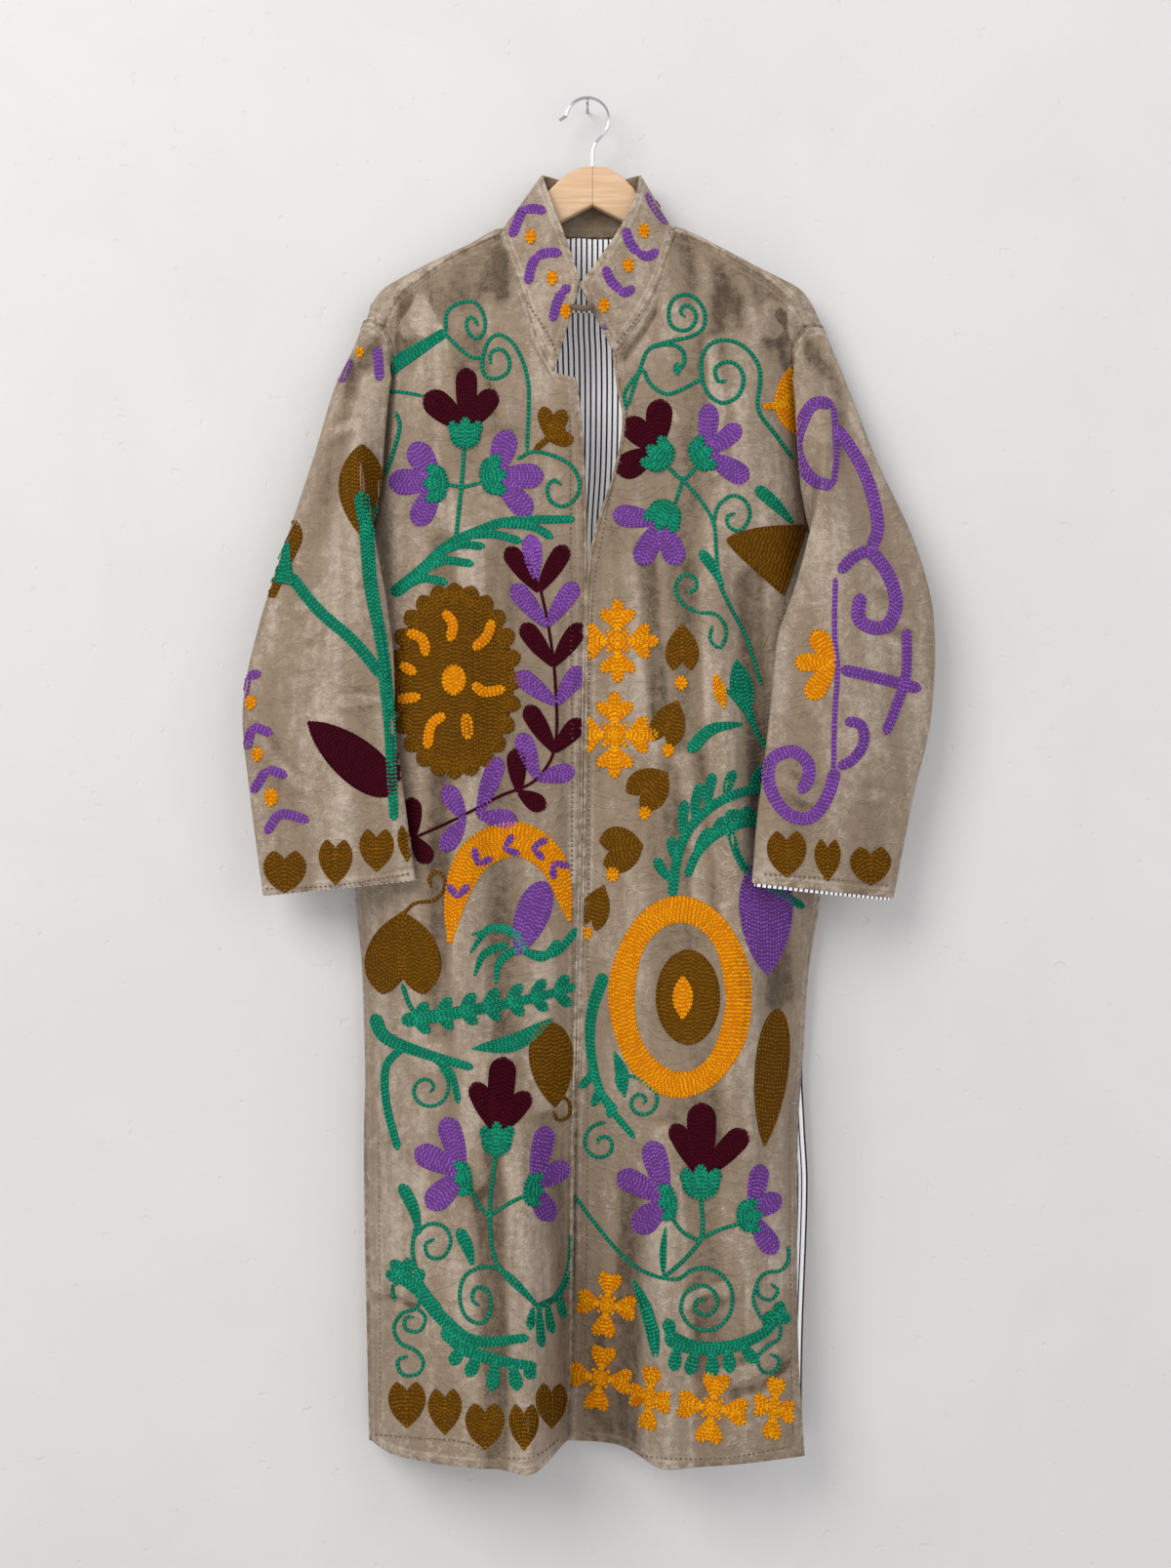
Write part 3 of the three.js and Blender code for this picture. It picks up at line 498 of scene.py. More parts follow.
def back_start(x):
    """Where the back panel starts above the place x, as (y, drop)."""
    front = FRONT_RIGHT if x < 0 else FRONT_LEFT
    head = HEAD_SEAM_RIGHT if x < 0 else HEAD_SEAM_LEFT
    side, centre = front["levels"]["side"][0], front["levels"]["centre"][0]
    if abs(x) > abs(side):
        return through(head["x"], head["y"], x), through(head["x"], head["drop"], x)
    if abs(x) >= NECK_HALF:
        drop = upper_edge(front, x)
        u = (x - centre) / (side - centre)
        slope = (upper_edge(front, x + np.sign(x)) - drop) * np.sign(x)
        clear = 3 * SEAM_GAP * math.hypot(1, slope)
        return front_y(front, np.array(u), drop), drop - clear
    return (
        through(BACK_NECK["x"], BACK_NECK["y"], x),
        through(BACK_NECK["x"], BACK_NECK["drop"], x),
    )


def back_line(x, arc_steps=10, rows=200):
    """One line of the back: up from the seam in front, over the shoulder, and down."""
    start_y, start_drop = (float(v) for v in back_start(x))
    over_top = start_y < 0
    top_y, top = start_y, start_drop
    if over_top:
        top_y, top = 0.0, float(through(SHOULDER_TOP["x"], SHOULDER_TOP["drop"], x))
    depth = max(2.0, float(back_y(x, top)[0]) - top_y)
    foot = top + depth
    foot_y = float(back_y(x, foot)[0])
    front_steps = arc_steps if over_top else 0
    line = []
    for i in range(front_steps):
        turn = (1 - i / front_steps) * math.pi / 2
        y = top_y + (start_y - top_y) * math.sin(turn)
        line.append((x, y, -(top + (start_drop - top) * (1 - math.cos(turn)))))
    rear_steps = 2 * arc_steps - front_steps
    for i in range(rear_steps):
        turn = i / rear_steps * math.pi / 2
        y = top_y + (foot_y - top_y) * math.sin(turn)
        line.append((x, y, -(top + (foot - top) * (1 - math.cos(turn)))))
    drop = np.linspace(foot, HEM_DROP, rows + 1)
    below = np.stack([back_x(x, drop), back_y(x, drop), -drop], axis=-1)
    return np.concatenate([np.array(line), below])


def back_grid():
    right, left = FRONT_RIGHT["levels"]["side"][0], FRONT_LEFT["levels"]["side"][0]
    breaks = [
        HEAD_SEAM_RIGHT["x"][0], right, -NECK_HALF, BACK_NECK["x"][0],
        BACK_NECK["x"][-1], NECK_HALF, left, HEAD_SEAM_LEFT["x"][-1],
    ]
    xs = [np.array([breaks[0]])]
    for a, b in zip(breaks[:-1], breaks[1:]):
        xs.append(np.linspace(a, b, max(1, round((b - a) / CLOTH_STEP)) + 1)[1:])
    return np.stack([back_line(x) for x in np.concatenate(xs)])


# ---------------------------------------------------------------- sleeves
FOLD_ROUNDNESS = 0.8
ARMHOLE_STEPS = 40
SLEEVE_HALF = 34
SLEEVE_ROWS = 115
ROLL_INWARD = 11
ROLL_FORWARD = 14


def armhole(front, head):
    """The armhole, up the front's edge, over the head, and down the back's."""
    levels = front["levels"]
    drop = np.linspace(UNDERARM_DROP, SLEEVE_CORNER_DROP, ARMHOLE_STEPS + 1)
    front_edge = np.stack([
        through(levels["drop"], levels["side"], drop),
        front_y(front, np.ones(drop.shape), drop),
        -drop,
    ], axis=-1)
    is_right = head["x"][0] < 0
    order = [2, 1] if is_right else [1, 2]
    head_edge = np.stack([head["x"][order], head["y"][order], -head["drop"][order]], axis=-1)
    back = BACK["levels"]
    edge, seam = (back["right"], back["seamR"]) if is_right else (back["left"], back["seamL"])
    drop = np.linspace(head["drop"][0 if is_right else 3], UNDERARM_DROP, ARMHOLE_STEPS + 1)
    back_edge = np.stack([
        through(back["drop"], edge, drop), through(back["drop"], seam, drop), -drop,
    ], axis=-1)
    fractions = (1 - np.cos(np.pi * np.linspace(0, 1, SLEEVE_HALF + 1))) / 2
    return (
        along(np.concatenate([front_edge, head_edge]), fractions),
        along(np.concatenate([head_edge[1:], back_edge]), fractions),
    )


def sleeve_ring(sleeve, k):
    """One section of a sleeve below the armhole, in the armhole's order of points."""
    value = {name: sleeve[name][k] for name in sleeve}
    places = [0, 0.25, 0.5, 0.75, 1]
    turn = np.pi * np.arange(2 * SLEEVE_HALF) / SLEEVE_HALF
    s = (1 + np.cos(turn)) / 2
    on_front = np.arange(2 * SLEEVE_HALF) <= SLEEVE_HALF
    before = through(places, [value[n] for n in ("f1", "f1", "f2", "f3", "f3")], s)
    behind = through(places, [value[n] for n in ("b1", "b1", "b2", "b3", "b3")], s)
    swell = np.abs(np.sin(turn)) ** FOLD_ROUNDNESS
    stand = np.where(on_front, -before, behind) * swell
    swing = np.where(on_front, 0, np.sign(value["outX"]) * value["swing"] * -np.sin(turn))
    return np.stack([
        lerp(value["outX"], value["inX"], s) + swing,
        lerp(value["outY"], value["inY"], s) + stand,
        -lerp(value["outDrop"], value["inDrop"], s),
    ], axis=-1)


def relaxed(grid, sleeve):
    """The sleeve with its upper folds rounded, and its front rolled over the armhole seam."""
    rows = np.linspace(0, 1, grid.shape[1])
    amount = (0.5 * np.clip(rows / 0.04, 0, 1) * np.interp(rows, [0, 0.55, 0.8], [1, 1, 0.2]))
    for _ in range(14):
        mean = (np.roll(grid, 1, axis=0) + np.roll(grid, -1, axis=0)) / 2
        grid = lerp(grid, mean, amount[None, :, None])
    inward = -np.sign(sleeve["outX"][0])
    steps = np.linalg.norm(np.diff(grid, axis=1), axis=2)
    run = np.concatenate([np.zeros((len(grid), 1)), np.cumsum(steps, axis=1)], axis=1)
    rise = np.clip(run / 12, 0, 1)
    fall = 1 - np.clip((run - 34) / 90, 0, 1)
    roll = rise * rise * (3 - 2 * rise) * fall * fall * (3 - 2 * fall)
    turn = np.arange(len(grid)) / SLEEVE_HALF
    where = np.interp(turn, [0, 0.1, 0.3, 0.62, 0.74, 2], [0, 0.55, 1, 1, 0, 0])[:, None]
    grid[..., 0] += inward * ROLL_INWARD * roll * where
    grid[..., 1] -= ROLL_FORWARD * roll * where
    return grid


def sleeve_grid(front, head, sleeve, creases):
    hole_front, hole_back = armhole(front, head)
    hem = np.concatenate([hole_front, hole_back[1:-1]])
    rings = [hem] + [sleeve_ring(sleeve, k) for k in range(len(sleeve["outX"]))]
    tangents = unit(np.roll(hem, -1, axis=0) - np.roll(hem, 1, axis=0))
    turn = np.arange(len(hem)) / SLEEVE_HALF
    clear = np.interp(turn, [0, 0.12, 0.18, 0.7, 0.8, 2], [1.7, 1.7, 0.45, 0.45, 1.7, 1.7])
    lines = []
    for i in range(len(hem)):
        chain = np.stack([ring[i] for ring in rings])
        away = chain[1] - chain[0]
        away = unit(away - tangents[i] * away.dot(tangents[i]))
        chain[0] = chain[0] + away * clear[i]
        run = np.concatenate([[0], np.cumsum(np.linalg.norm(np.diff(chain, axis=0), axis=1))])
        at = np.linspace(0, run[-1], SLEEVE_ROWS + 1)
        lines.append(np.stack([through(run, chain[:, axis], at) for axis in range(3)], axis=-1))
    grid = relaxed(np.stack(lines), sleeve)
    facing = np.clip(-normals_of(grid, True)[..., 1] * np.sign(sleeve["outX"][0]) * -1, 0, 1)
    rows_in = np.clip(np.linspace(0, 1, SLEEVE_ROWS + 1) / 0.05, 0, 1)
    grid[..., 1] -= crease_relief(creases, grid[..., 0], -grid[..., 2]) * facing * rows_in
    return grid


# ---------------------------------------------------------------- collar
def collar_grid(neck_steps=14, rows=34):
    """From the right front's centre edge round the neck to the left front's."""
    stations = []
    for front, edge in ((FRONT_RIGHT, COLLAR_RIGHT), (FRONT_LEFT, COLLAR_LEFT)):
        first = 2 / 7 if front is FRONT_RIGHT else 0
        us = np.linspace(first, 1, neck_steps + 1) * neck_column(front)
        drop = top_drop(front, us)
        feet = np.stack([front_x(front, us, drop), front_y(front, us, drop), -drop], axis=-1)
        stations.append([(foot, edge) for foot in feet])
    xs = np.linspace(BACK_NECK["x"][0], BACK_NECK["x"][-1], 35)
    back = []
    for x in xs:
        y, drop = back_start(x)
        back.append((np.array([x, float(y), -float(drop)]), COLLAR_BACK))
    lines = []
    for foot, edge in stations[0] + back + stations[1][::-1]:
        x, y, drop = (through(edge["neckX"], edge[name], foot[0]) for name in ("x", "y", "drop"))
        top = np.array([x, y, -drop])
        start = foot + unit(top - foot) * 5 * SEAM_GAP
        lines.append(lerp(start[None], top[None], np.linspace(0, 1, rows + 1)[:, None]))
    return np.stack(lines)


# ---------------------------------------------------------------- meshes
def make_mesh(name, points, faces, materials, slots=None, attributes=None):
    """A mesh object in metres; attributes are a value or a vector for each point."""
    mesh = bpy.data.meshes.new(name)
    mesh.from_pydata((np.asarray(points) * MM).tolist(), [], [list(f) for f in faces])
    for material in materials:
        mesh.materials.append(material)
    if slots is not None:
        mesh.polygons.foreach_set("material_index", np.asarray(slots, np.int32))
    mesh.polygons.foreach_set("use_smooth", [True] * len(faces))
    for label, values in (attributes or {}).items():
        values = np.asarray(values, float)
        kind, field = ("FLOAT_VECTOR", "vector") if values.ndim == 2 else ("FLOAT", "value")
        layer = mesh.attributes.new(label, kind, "POINT")
        layer.data.foreach_set(field, values.ravel())
    mesh.update()
    piece = bpy.data.objects.new(name, mesh)
    bpy.context.scene.collection.objects.link(piece)
    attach(piece, "root")
    return piece


def flat_places(grid):
    """How far each point lies across and down the cut piece, before it was sewn."""
    across = np.linalg.norm(np.diff(grid, axis=0), axis=2).mean(axis=1)
    down = np.linalg.norm(np.diff(grid, axis=1), axis=2)
    u = np.concatenate([[0], np.cumsum(across)])[:, None] * np.ones(grid.shape[:2])
    v = np.concatenate([np.zeros((len(grid), 1)), np.cumsum(down, axis=1)], axis=1)
    return u, v


def edge_distance(grid, is_round):
    """Distance of each point from the piece's nearest cut edge."""
    down = np.linalg.norm(np.diff(grid, axis=1), axis=2)
    v = np.concatenate([np.zeros((len(grid), 1)), np.cumsum(down, axis=1)], axis=1)
    nearest = np.minimum(v, v[:, -1:] - v)
    if not is_round:
        across = np.linalg.norm(np.diff(grid, axis=0), axis=2)
        u = np.concatenate([np.zeros((1, grid.shape[1])), np.cumsum(across, axis=0)], axis=0)
        nearest = np.minimum(nearest, np.minimum(u, u[-1:] - u))
    return nearest


FOLD_SHADE_SHARE = 0.16  # how much broad folds count beside fine creases in the painted fold shade


def convexity(grid, normals, is_round, reach):
    """How far each point stands out from its neighbours, in mm: ridges above 0."""
    def shifted(axis, by):
        moved = np.roll(grid, by, axis=axis)
        if axis == 0 and is_round:
            return moved
        index = [slice(None)] * 3
        index[axis] = slice(0, by) if by > 0 else slice(by, None)
        moved[tuple(index)] = grid[tuple(index)]
        return moved
    mean = sum(shifted(axis, by) for axis in (0, 1) for by in (-reach, reach)) / 4
    return ((grid - mean) * normals).sum(axis=2)


def cloth_shell(name, grid, offset, is_round, materials):
    """A closed shell of cloth: the grid is its outer face, and offset (mm, signed) is how
    far along the grid's normals its inner face lies."""
    lines, places = grid.shape[:2]
    normals = normals_of(grid, is_round)
    inner = grid + normals * offset
    outward = normals * -np.sign(offset)
    points = np.concatenate([grid.reshape(-1, 3), inner.reshape(-1, 3)])
    count = lines * places
    rows = lines if is_round else lines - 1
    i, j = np.meshgrid(np.arange(rows), np.arange(places - 1), indexing="ij")
    i, j = i.ravel(), j.ravel()
    after = (i + 1) % lines
    a, b = i * places + j, after * places + j
    c, d = b + 1, a + 1
    outer_faces = np.stack([a, b, c, d], axis=1)
    inner_faces = np.stack([a, d, c, b], axis=1) + count
    rims = []
    k = np.arange(rows)
    nxt = (k + 1) % lines
    for end, flip in ((0, False), (places - 1, True)):
        p, q = k * places + end, nxt * places + end
        rim = np.stack([p, p + count, q + count, q], axis=1)
        rims.append(rim[:, ::-1] if flip else rim)
    if not is_round:
        k = np.arange(places - 1)
        for line, flip in ((0, True), (lines - 1, False)):
            p = line * places + k
            rim = np.stack([p, p + count, p + 1 + count, p + 1], axis=1)
            rims.append(rim[:, ::-1] if flip else rim)
    faces = np.concatenate([outer_faces, inner_faces] + rims)
    if offset > 0:
        faces = faces[:, ::-1]
    slots = np.zeros(len(faces), int)
    slots[len(outer_faces):2 * len(outer_faces)] = len(materials) - 1
    u, v = flat_places(grid)
    flat = np.stack([u, v, np.zeros_like(u)], axis=-1).reshape(-1, 3) * MM
    edge = edge_distance(grid, is_round).ravel()
    # painted shade and light for the velvet: hollows of folds darken it and ridges lighten it, the ridges
    # partly as rubbed wear
    ridge_wear_and_fold_shade = convexity(grid, outward, is_round, 2)
    ridge_wear_and_fold_shade = (ridge_wear_and_fold_shade + FOLD_SHADE_SHARE * convexity(grid, outward, is_round, 7)).ravel()
    twice = {
        "flat": np.concatenate([flat, flat]),
        "edge": np.concatenate([edge, edge]),
        "ridge_wear_and_fold_shade": np.concatenate([ridge_wear_and_fold_shade, -ridge_wear_and_fold_shade]),
    }
    return make_mesh(name, points, faces, materials, slots, twice)


def rod_mesh(name, chain, radius, material, sides=16):
    """A round rod along a chain of points, with flat ends."""
    chain = np.asarray(chain, float)
    ahead = unit(np.gradient(chain, axis=0))
    side = unit(np.cross(ahead[0], [0, 1, 0.3]))
    points, faces = [], []
    for centre, way in zip(chain, ahead):
        side = unit(side - way * side.dot(way))
        up = np.cross(way, side)
        for k in range(sides):
            turn = 2 * math.pi * k / sides
            points.append(centre + radius * (math.cos(turn) * side + math.sin(turn) * up))
    for i in range(len(chain) - 1):
        for k in range(sides):
            a, b = i * sides + k, i * sides + (k + 1) % sides
            faces.append((a, b, b + sides, a + sides))
    faces.append(tuple(range(sides))[::-1])
    faces.append(tuple((len(chain) - 1) * sides + k for k in range(sides)))
    return make_mesh(name, points, faces, [material])


# ---------------------------------------------------------------- materials
def srgb(r, g, b):
    def linear(c):
        c /= 255
        return c / 12.92 if c < 0.04045 else ((c + 0.055) / 1.055) ** 2.4
    return (linear(r), linear(g), linear(b), 1.0)


class Shader:
    """A material's node tree, built a node at a time."""

    def __init__(self, name):
        self.material = bpy.data.materials.new(name)
        self.material.use_nodes = True
        self.nodes = self.material.node_tree.nodes
        self.links = self.material.node_tree.links
        self.nodes.clear()
        self.out = self.nodes.new("ShaderNodeOutputMaterial")
        self.surface = self.nodes.new("ShaderNodeBsdfPrincipled")
        self.links.new(self.surface.outputs[0], self.out.inputs["Surface"])

    def node(self, kind, settings=None, **inputs):
        node = self.nodes.new("ShaderNode" + kind)
        for key, value in (settings or {}).items():
            setattr(node, key, value)
        for key, value in inputs.items():
            self.feed(node.inputs[key.replace("_", " ")], value)
        return node

    def feed(self, socket, value):
        if isinstance(value, bpy.types.NodeSocket):
            self.links.new(value, socket)
        else:
            socket.default_value = value

    def math(self, operation, a, b=0.0):
        node = self.nodes.new("ShaderNodeMath")
        node.operation = operation
        self.feed(node.inputs[0], a)
        self.feed(node.inputs[1], b)
        return node.outputs[0]

    def ramp(self, value, low, high, to_low=0.0, to_high=1.0):
        node = self.nodes.new("ShaderNodeMapRange")
        node.interpolation_type = "SMOOTHSTEP"
        for key, number in (("From Min", low), ("From Max", high),
                            ("To Min", to_low), ("To Max", to_high)):
            node.inputs[key].default_value = number
        self.feed(node.inputs["Value"], value)
        return node.outputs["Result"]

    def mix(self, factor, a, b):
        node = self.nodes.new("ShaderNodeMix")
        node.data_type = "RGBA"
        self.feed(node.inputs[0], factor)
        self.feed(node.inputs[6], a)
        self.feed(node.inputs[7], b)
        return node.outputs[2]

    def attribute(self, name, output="Fac"):
        return self.node("Attribute", {"attribute_name": name}).outputs[output]

    def stretched(self, scale):
        coords = self.node("TexCoord").outputs["Object"]
        return self.node("Mapping", Vector=coords, Scale=scale).outputs[0]

    def noise(self, vector, scale, detail=4.0, rough=0.55, distortion=0.0):
        node = self.node("TexNoise", Vector=vector, Scale=scale, Detail=detail)
        node.inputs["Roughness"].default_value = rough
        node.inputs["Distortion"].default_value = distortion
        return node.outputs[0]

    def bump(self, height, distance, strength=1.0):
        node = self.node("Bump", Height=height, Distance=distance, Strength=strength)
        self.links.new(node.outputs[0], self.surface.inputs["Normal"])


VELVET_DARK = srgb(84, 71, 58)
VELVET_MID = srgb(140, 122, 103)
VELVET_LIGHT = srgb(190, 174, 157)


def velvet_material():
    """Cotton velvet with a crushed pile: soft blotches, vertical streaks, rubbed ridges, and painted shade
    in the hollows of folds with painted light on their ridges.
    """
    s = Shader("velvet")
    s.surface.inputs["Roughness"].default_value = 0.95
    s.surface.inputs["Specular IOR Level"].default_value = 0.05
    s.surface.inputs["Sheen Weight"].default_value = 0.3
    s.surface.inputs["Sheen Roughness"].default_value = 0.4
    s.surface.inputs["Sheen Tint"].default_value = srgb(225, 215, 205)
    fuzz = s.noise(s.stretched((1.0, 1.0, 1.0)), 900, 2)
    blotches = s.noise(s.stretched((1.0, 1.0, 0.55)), 14, 5, 0.6, 0.6)
    streaks = s.noise(s.stretched((1.0, 0.4, 0.14)), 55, 3, 0.5, 0.3)
    mottle = s.noise(s.stretched((1.0, 1.0, 1.0)), 120, 4, 0.6)
    creases = s.noise(s.stretched((0.7, 0.7, 1.25)), 34, 3, 0.5, 1.6)
    pile_tone_and_fold_shade = s.math("ADD", s.ramp(blotches, 0.32, 0.7, -0.16, 0.14),
                 s.ramp(streaks, 0.3, 0.7, -0.2, 0.16))
    pile_tone_and_fold_shade = s.math("ADD", pile_tone_and_fold_shade, s.ramp(mottle, 0.3, 0.7, -0.16, 0.16))
    pile_tone_and_fold_shade = s.math("ADD", pile_tone_and_fold_shade, s.ramp(fuzz, 0.25, 0.75, -0.2, 0.2))
    line = s.math("ABSOLUTE", s.math("SUBTRACT", creases, 0.5))
    pile_tone_and_fold_shade = s.math("ADD", pile_tone_and_fold_shade, s.ramp(line, 0.0, 0.02, 0.22, 0.0))
    edge = s.attribute("edge")
    rubbed = s.math("MULTIPLY", s.ramp(edge, 0.0, 7.0, 0.5, 0.0), s.ramp(mottle, 0.35, 0.6))
    seam = s.ramp(s.math("ABSOLUTE", s.math("SUBTRACT", edge, 8.0)), 0.0, 3.0, 0.28, 0.0)
    pile_tone_and_fold_shade = s.math("ADD", pile_tone_and_fold_shade, s.math("ADD", rubbed, seam))
    # painted shade in the hollows of folds and painted light on their ridges, the ridges partly as rubbed
    # wear
    pile_tone_and_fold_shade = s.math("ADD", pile_tone_and_fold_shade, s.ramp(s.attribute("ridge_wear_and_fold_shade"), -0.8, 0.8, -0.52, 0.36))
    dark = s.ramp(pile_tone_and_fold_shade, -1.0, 0.0)
    light = s.ramp(pile_tone_and_fold_shade, 0.0, 1.0)
    base = s.mix(light, s.mix(dark, VELVET_DARK, VELVET_MID), VELVET_LIGHT)
    s.feed(s.surface.inputs["Base Color"], base)
    height = s.math("ADD", s.math("MULTIPLY", fuzz, 0.15), s.math("MULTIPLY", mottle, 0.5))
    height = s.math("ADD", height, s.ramp(line, 0.0, 0.05, 0.5, 0.0))
    s.bump(s.math("ADD", height, s.math("MULTIPLY", blotches, 1.2)), 0.0016, 0.75)
    return s.material


STRIPE_PITCH = 5.2 * MM
LINING_PAINTED_GLOW = 0.16  # painted light: a glow that keeps the lining bright in the shade inside the coat


def lining_material():
    """Woven cotton with fine dark stripes down the cloth, with a painted glow that lightens it in the
    coat's shade.
    """
    s = Shader("lining")
    s.surface.inputs["Roughness"].default_value = 0.85
    s.surface.inputs["Specular IOR Level"].default_value = 0.2
    across = s.node("SeparateXYZ", Vector=s.attribute("flat", "Vector")).outputs[0]
    phase = s.math("FRACT", s.math("DIVIDE", across, STRIPE_PITCH))
    stripe = s.ramp(s.math("ABSOLUTE", s.math("SUBTRACT", phase, 0.5)), 0.13, 0.21, 1.0, 0.0)
    weave = s.noise(s.stretched((1.0, 1.0, 1.0)), 1100, 2)
    pale = s.mix(s.ramp(weave, 0.3, 0.7), srgb(246, 244, 244), srgb(255, 254, 254))
    navy = s.mix(s.ramp(weave, 0.3, 0.7), srgb(16, 16, 30), srgb(44, 44, 64))
    tone = s.mix(stripe, pale, navy)
    s.feed(s.surface.inputs["Base Color"], tone)
    # painted light: the cloth's own tone also glows, to keep the lining bright in the shade inside the
    # coat
    s.feed(s.surface.inputs["Emission Color"], tone)
    s.surface.inputs["Emission Strength"].default_value = LINING_PAINTED_GLOW
    s.bump(weave, 0.0002, 0.5)
    return s.material


WOOD_SEAM_X = 4.9  # where the two arms of the hanger meet


def wood_material():
    """Pale varnished beech: fine grain along the arms and a seam down the middle."""
    s = Shader("wood")
    s.surface.inputs["Roughness"].default_value = 0.42
    s.surface.inputs["Coat Weight"].default_value = 0.25
    s.surface.inputs["Coat Roughness"].default_value = 0.25
    grain = s.noise(s.stretched((0.35, 1.0, 6.0)), 46, 5, 0.6, 0.4)
    flecks = s.noise(s.stretched((0.5, 1.0, 9.0)), 260, 2)
    tone = s.mix(s.ramp(grain, 0.3, 0.7), srgb(208, 168, 128), srgb(222, 186, 148))
    tone = s.mix(s.ramp(flecks, 0.62, 0.74, 0.0, 0.16), tone, srgb(176, 128, 84))
    x = s.node("SeparateXYZ", Vector=s.node("TexCoord").outputs["Object"]).outputs[0]
    off_seam = s.math("ABSOLUTE", s.math("SUBTRACT", x, WOOD_SEAM_X * MM))
    tone = s.mix(s.ramp(off_seam, 0.0002, 0.0007, 0.7, 0.0), tone, srgb(150, 105, 66))
    s.feed(s.surface.inputs["Base Color"], tone)
    s.bump(grain, 0.0003, 0.4)
    return s.material


def steel_material():
    """Bright drawn wire."""
    s = Shader("steel")
    s.surface.inputs["Base Color"].default_value = srgb(190, 190, 194)
    s.surface.inputs["Metallic"].default_value = 1.0
    s.surface.inputs["Roughness"].default_value = 0.24
    return s.material


def thread_material(name, colour):
    """Dyed embroidery thread, its tone a little different from stitch to stitch, with painted shade under
    and between the stitches and painted light on their tops.
    """
    s = Shader(name)
    s.surface.inputs["Roughness"].default_value = 0.75
    s.surface.inputs["Specular IOR Level"].default_value = 0.06
    shade = s.attribute("shade")
    # dark and light are shaded and lit copies of the thread's colour, picked by the painted shade and the
    # random tone
    dark = tuple(c * 0.52 for c in colour[:3]) + (1.0,)
    light = tuple(min(c * 2.1, 1.0) for c in colour[:3]) + (1.0,)
    tone = s.mix(s.ramp(shade, 0.0, 1.0), dark, light)
    s.feed(s.surface.inputs["Base Color"], tone)
    ply = s.noise(s.stretched((1.0, 1.0, 1.0)), 1400, 2)
    s.bump(ply, 0.0003, 0.6)
    return s.material


# ---------------------------------------------------------------- embroidery
# Motifs are drawn on a chart that hangs square to the camera at the hook's depth, CHART_UNIT
# millimetres a step, with y down. Each point is carried along the camera's ray to the cloth.
CHART_UNIT = 0.95
CHART_CENTRE = (600.0, 803.5)
ROW_PITCH = 3.0  # chart steps between rows of chain stitch
STITCH_LENGTH = 4.1
PAD_STEP = 4.0
PAD_WIDEST = 32  # a pad's face wider than this would span a gap in the cloth
ROW_SHORTEST = 1.5
STITCH_SHORTEST = 0.4
STITCH_LONGEST = 9
PAD_EDGE_SHARE = 0.86  # where a pad's full height begins, as a share of its half width
PAD_COLUMN = 6.0
PAD_EDGE_HEIGHT = 0.05
HALF_LEAST = 0.3
# painted light and shade on each stitch: dark under it and at its ends, light on its top, middling on its
# sides, one leg a little lighter than the other
PAINTED_SHADE_UNDER = 0.14
PAINTED_LIGHT_TOP = 0.9
PAINTED_SHADE_OUTER_SIDE = 0.52
PAINTED_SHADE_INNER_SIDE = 0.46
TONE_SPREAD = 0.22
PAINTED_LIGHT_LEAN = 0.07
STEP_SPREAD = 0.7
TAIL_BACK = 0.5
TAIL_SIDE = 0.25
TAIL_LIFT = 0.35
TIP_AHEAD = 0.7
TIP_SIDE = 0.6
TIP_LIFT = 0.25
PAD_HEIGHT = 0.8
STITCH_HEIGHT = 1.5
STITCH_SPREAD = 1.1
COLOURS = {
    "green": srgb(22, 124, 96),
    "purple": srgb(120, 72, 148),
    "burgundy": srgb(60, 5, 20),
    "orange": srgb(255, 136, 10),
    "olive": srgb(106, 69, 9),
}


def smooth_line(points, step=1.0):
    """Evenly spaced points on the smooth line through a few points of the chart."""
    points = np.asarray(points, float)
    run = np.concatenate([[0], np.cumsum(np.linalg.norm(np.diff(points, axis=0), axis=1))])
    at = np.linspace(0, run[-1], max(3, int(run[-1] * 3)))
    line = np.stack([through(run, points[:, axis], at) for axis in (0, 1)], axis=-1)
    run = np.concatenate([[0], np.cumsum(np.linalg.norm(np.diff(line, axis=0), axis=1))])
    at = np.linspace(0, run[-1], max(3, int(round(run[-1] / step)) + 1))
    return np.stack([np.interp(at, run, line[:, axis]) for axis in (0, 1)], axis=-1)


def round_ends(length, half, count):
    """Half-width of a line with round ends."""
    s = np.linspace(0, length, count)
    end = np.clip(np.minimum(s, length - s) / max(half, 0.1), 0, 1)
    return half * np.sqrt(np.clip(1 - (1 - end) ** 2, 0.04, 1))


def turned(x, y, degrees):
    c, s = math.cos(math.radians(degrees)), math.sin(math.radians(degrees))
    return x * c - y * s, x * s + y * c


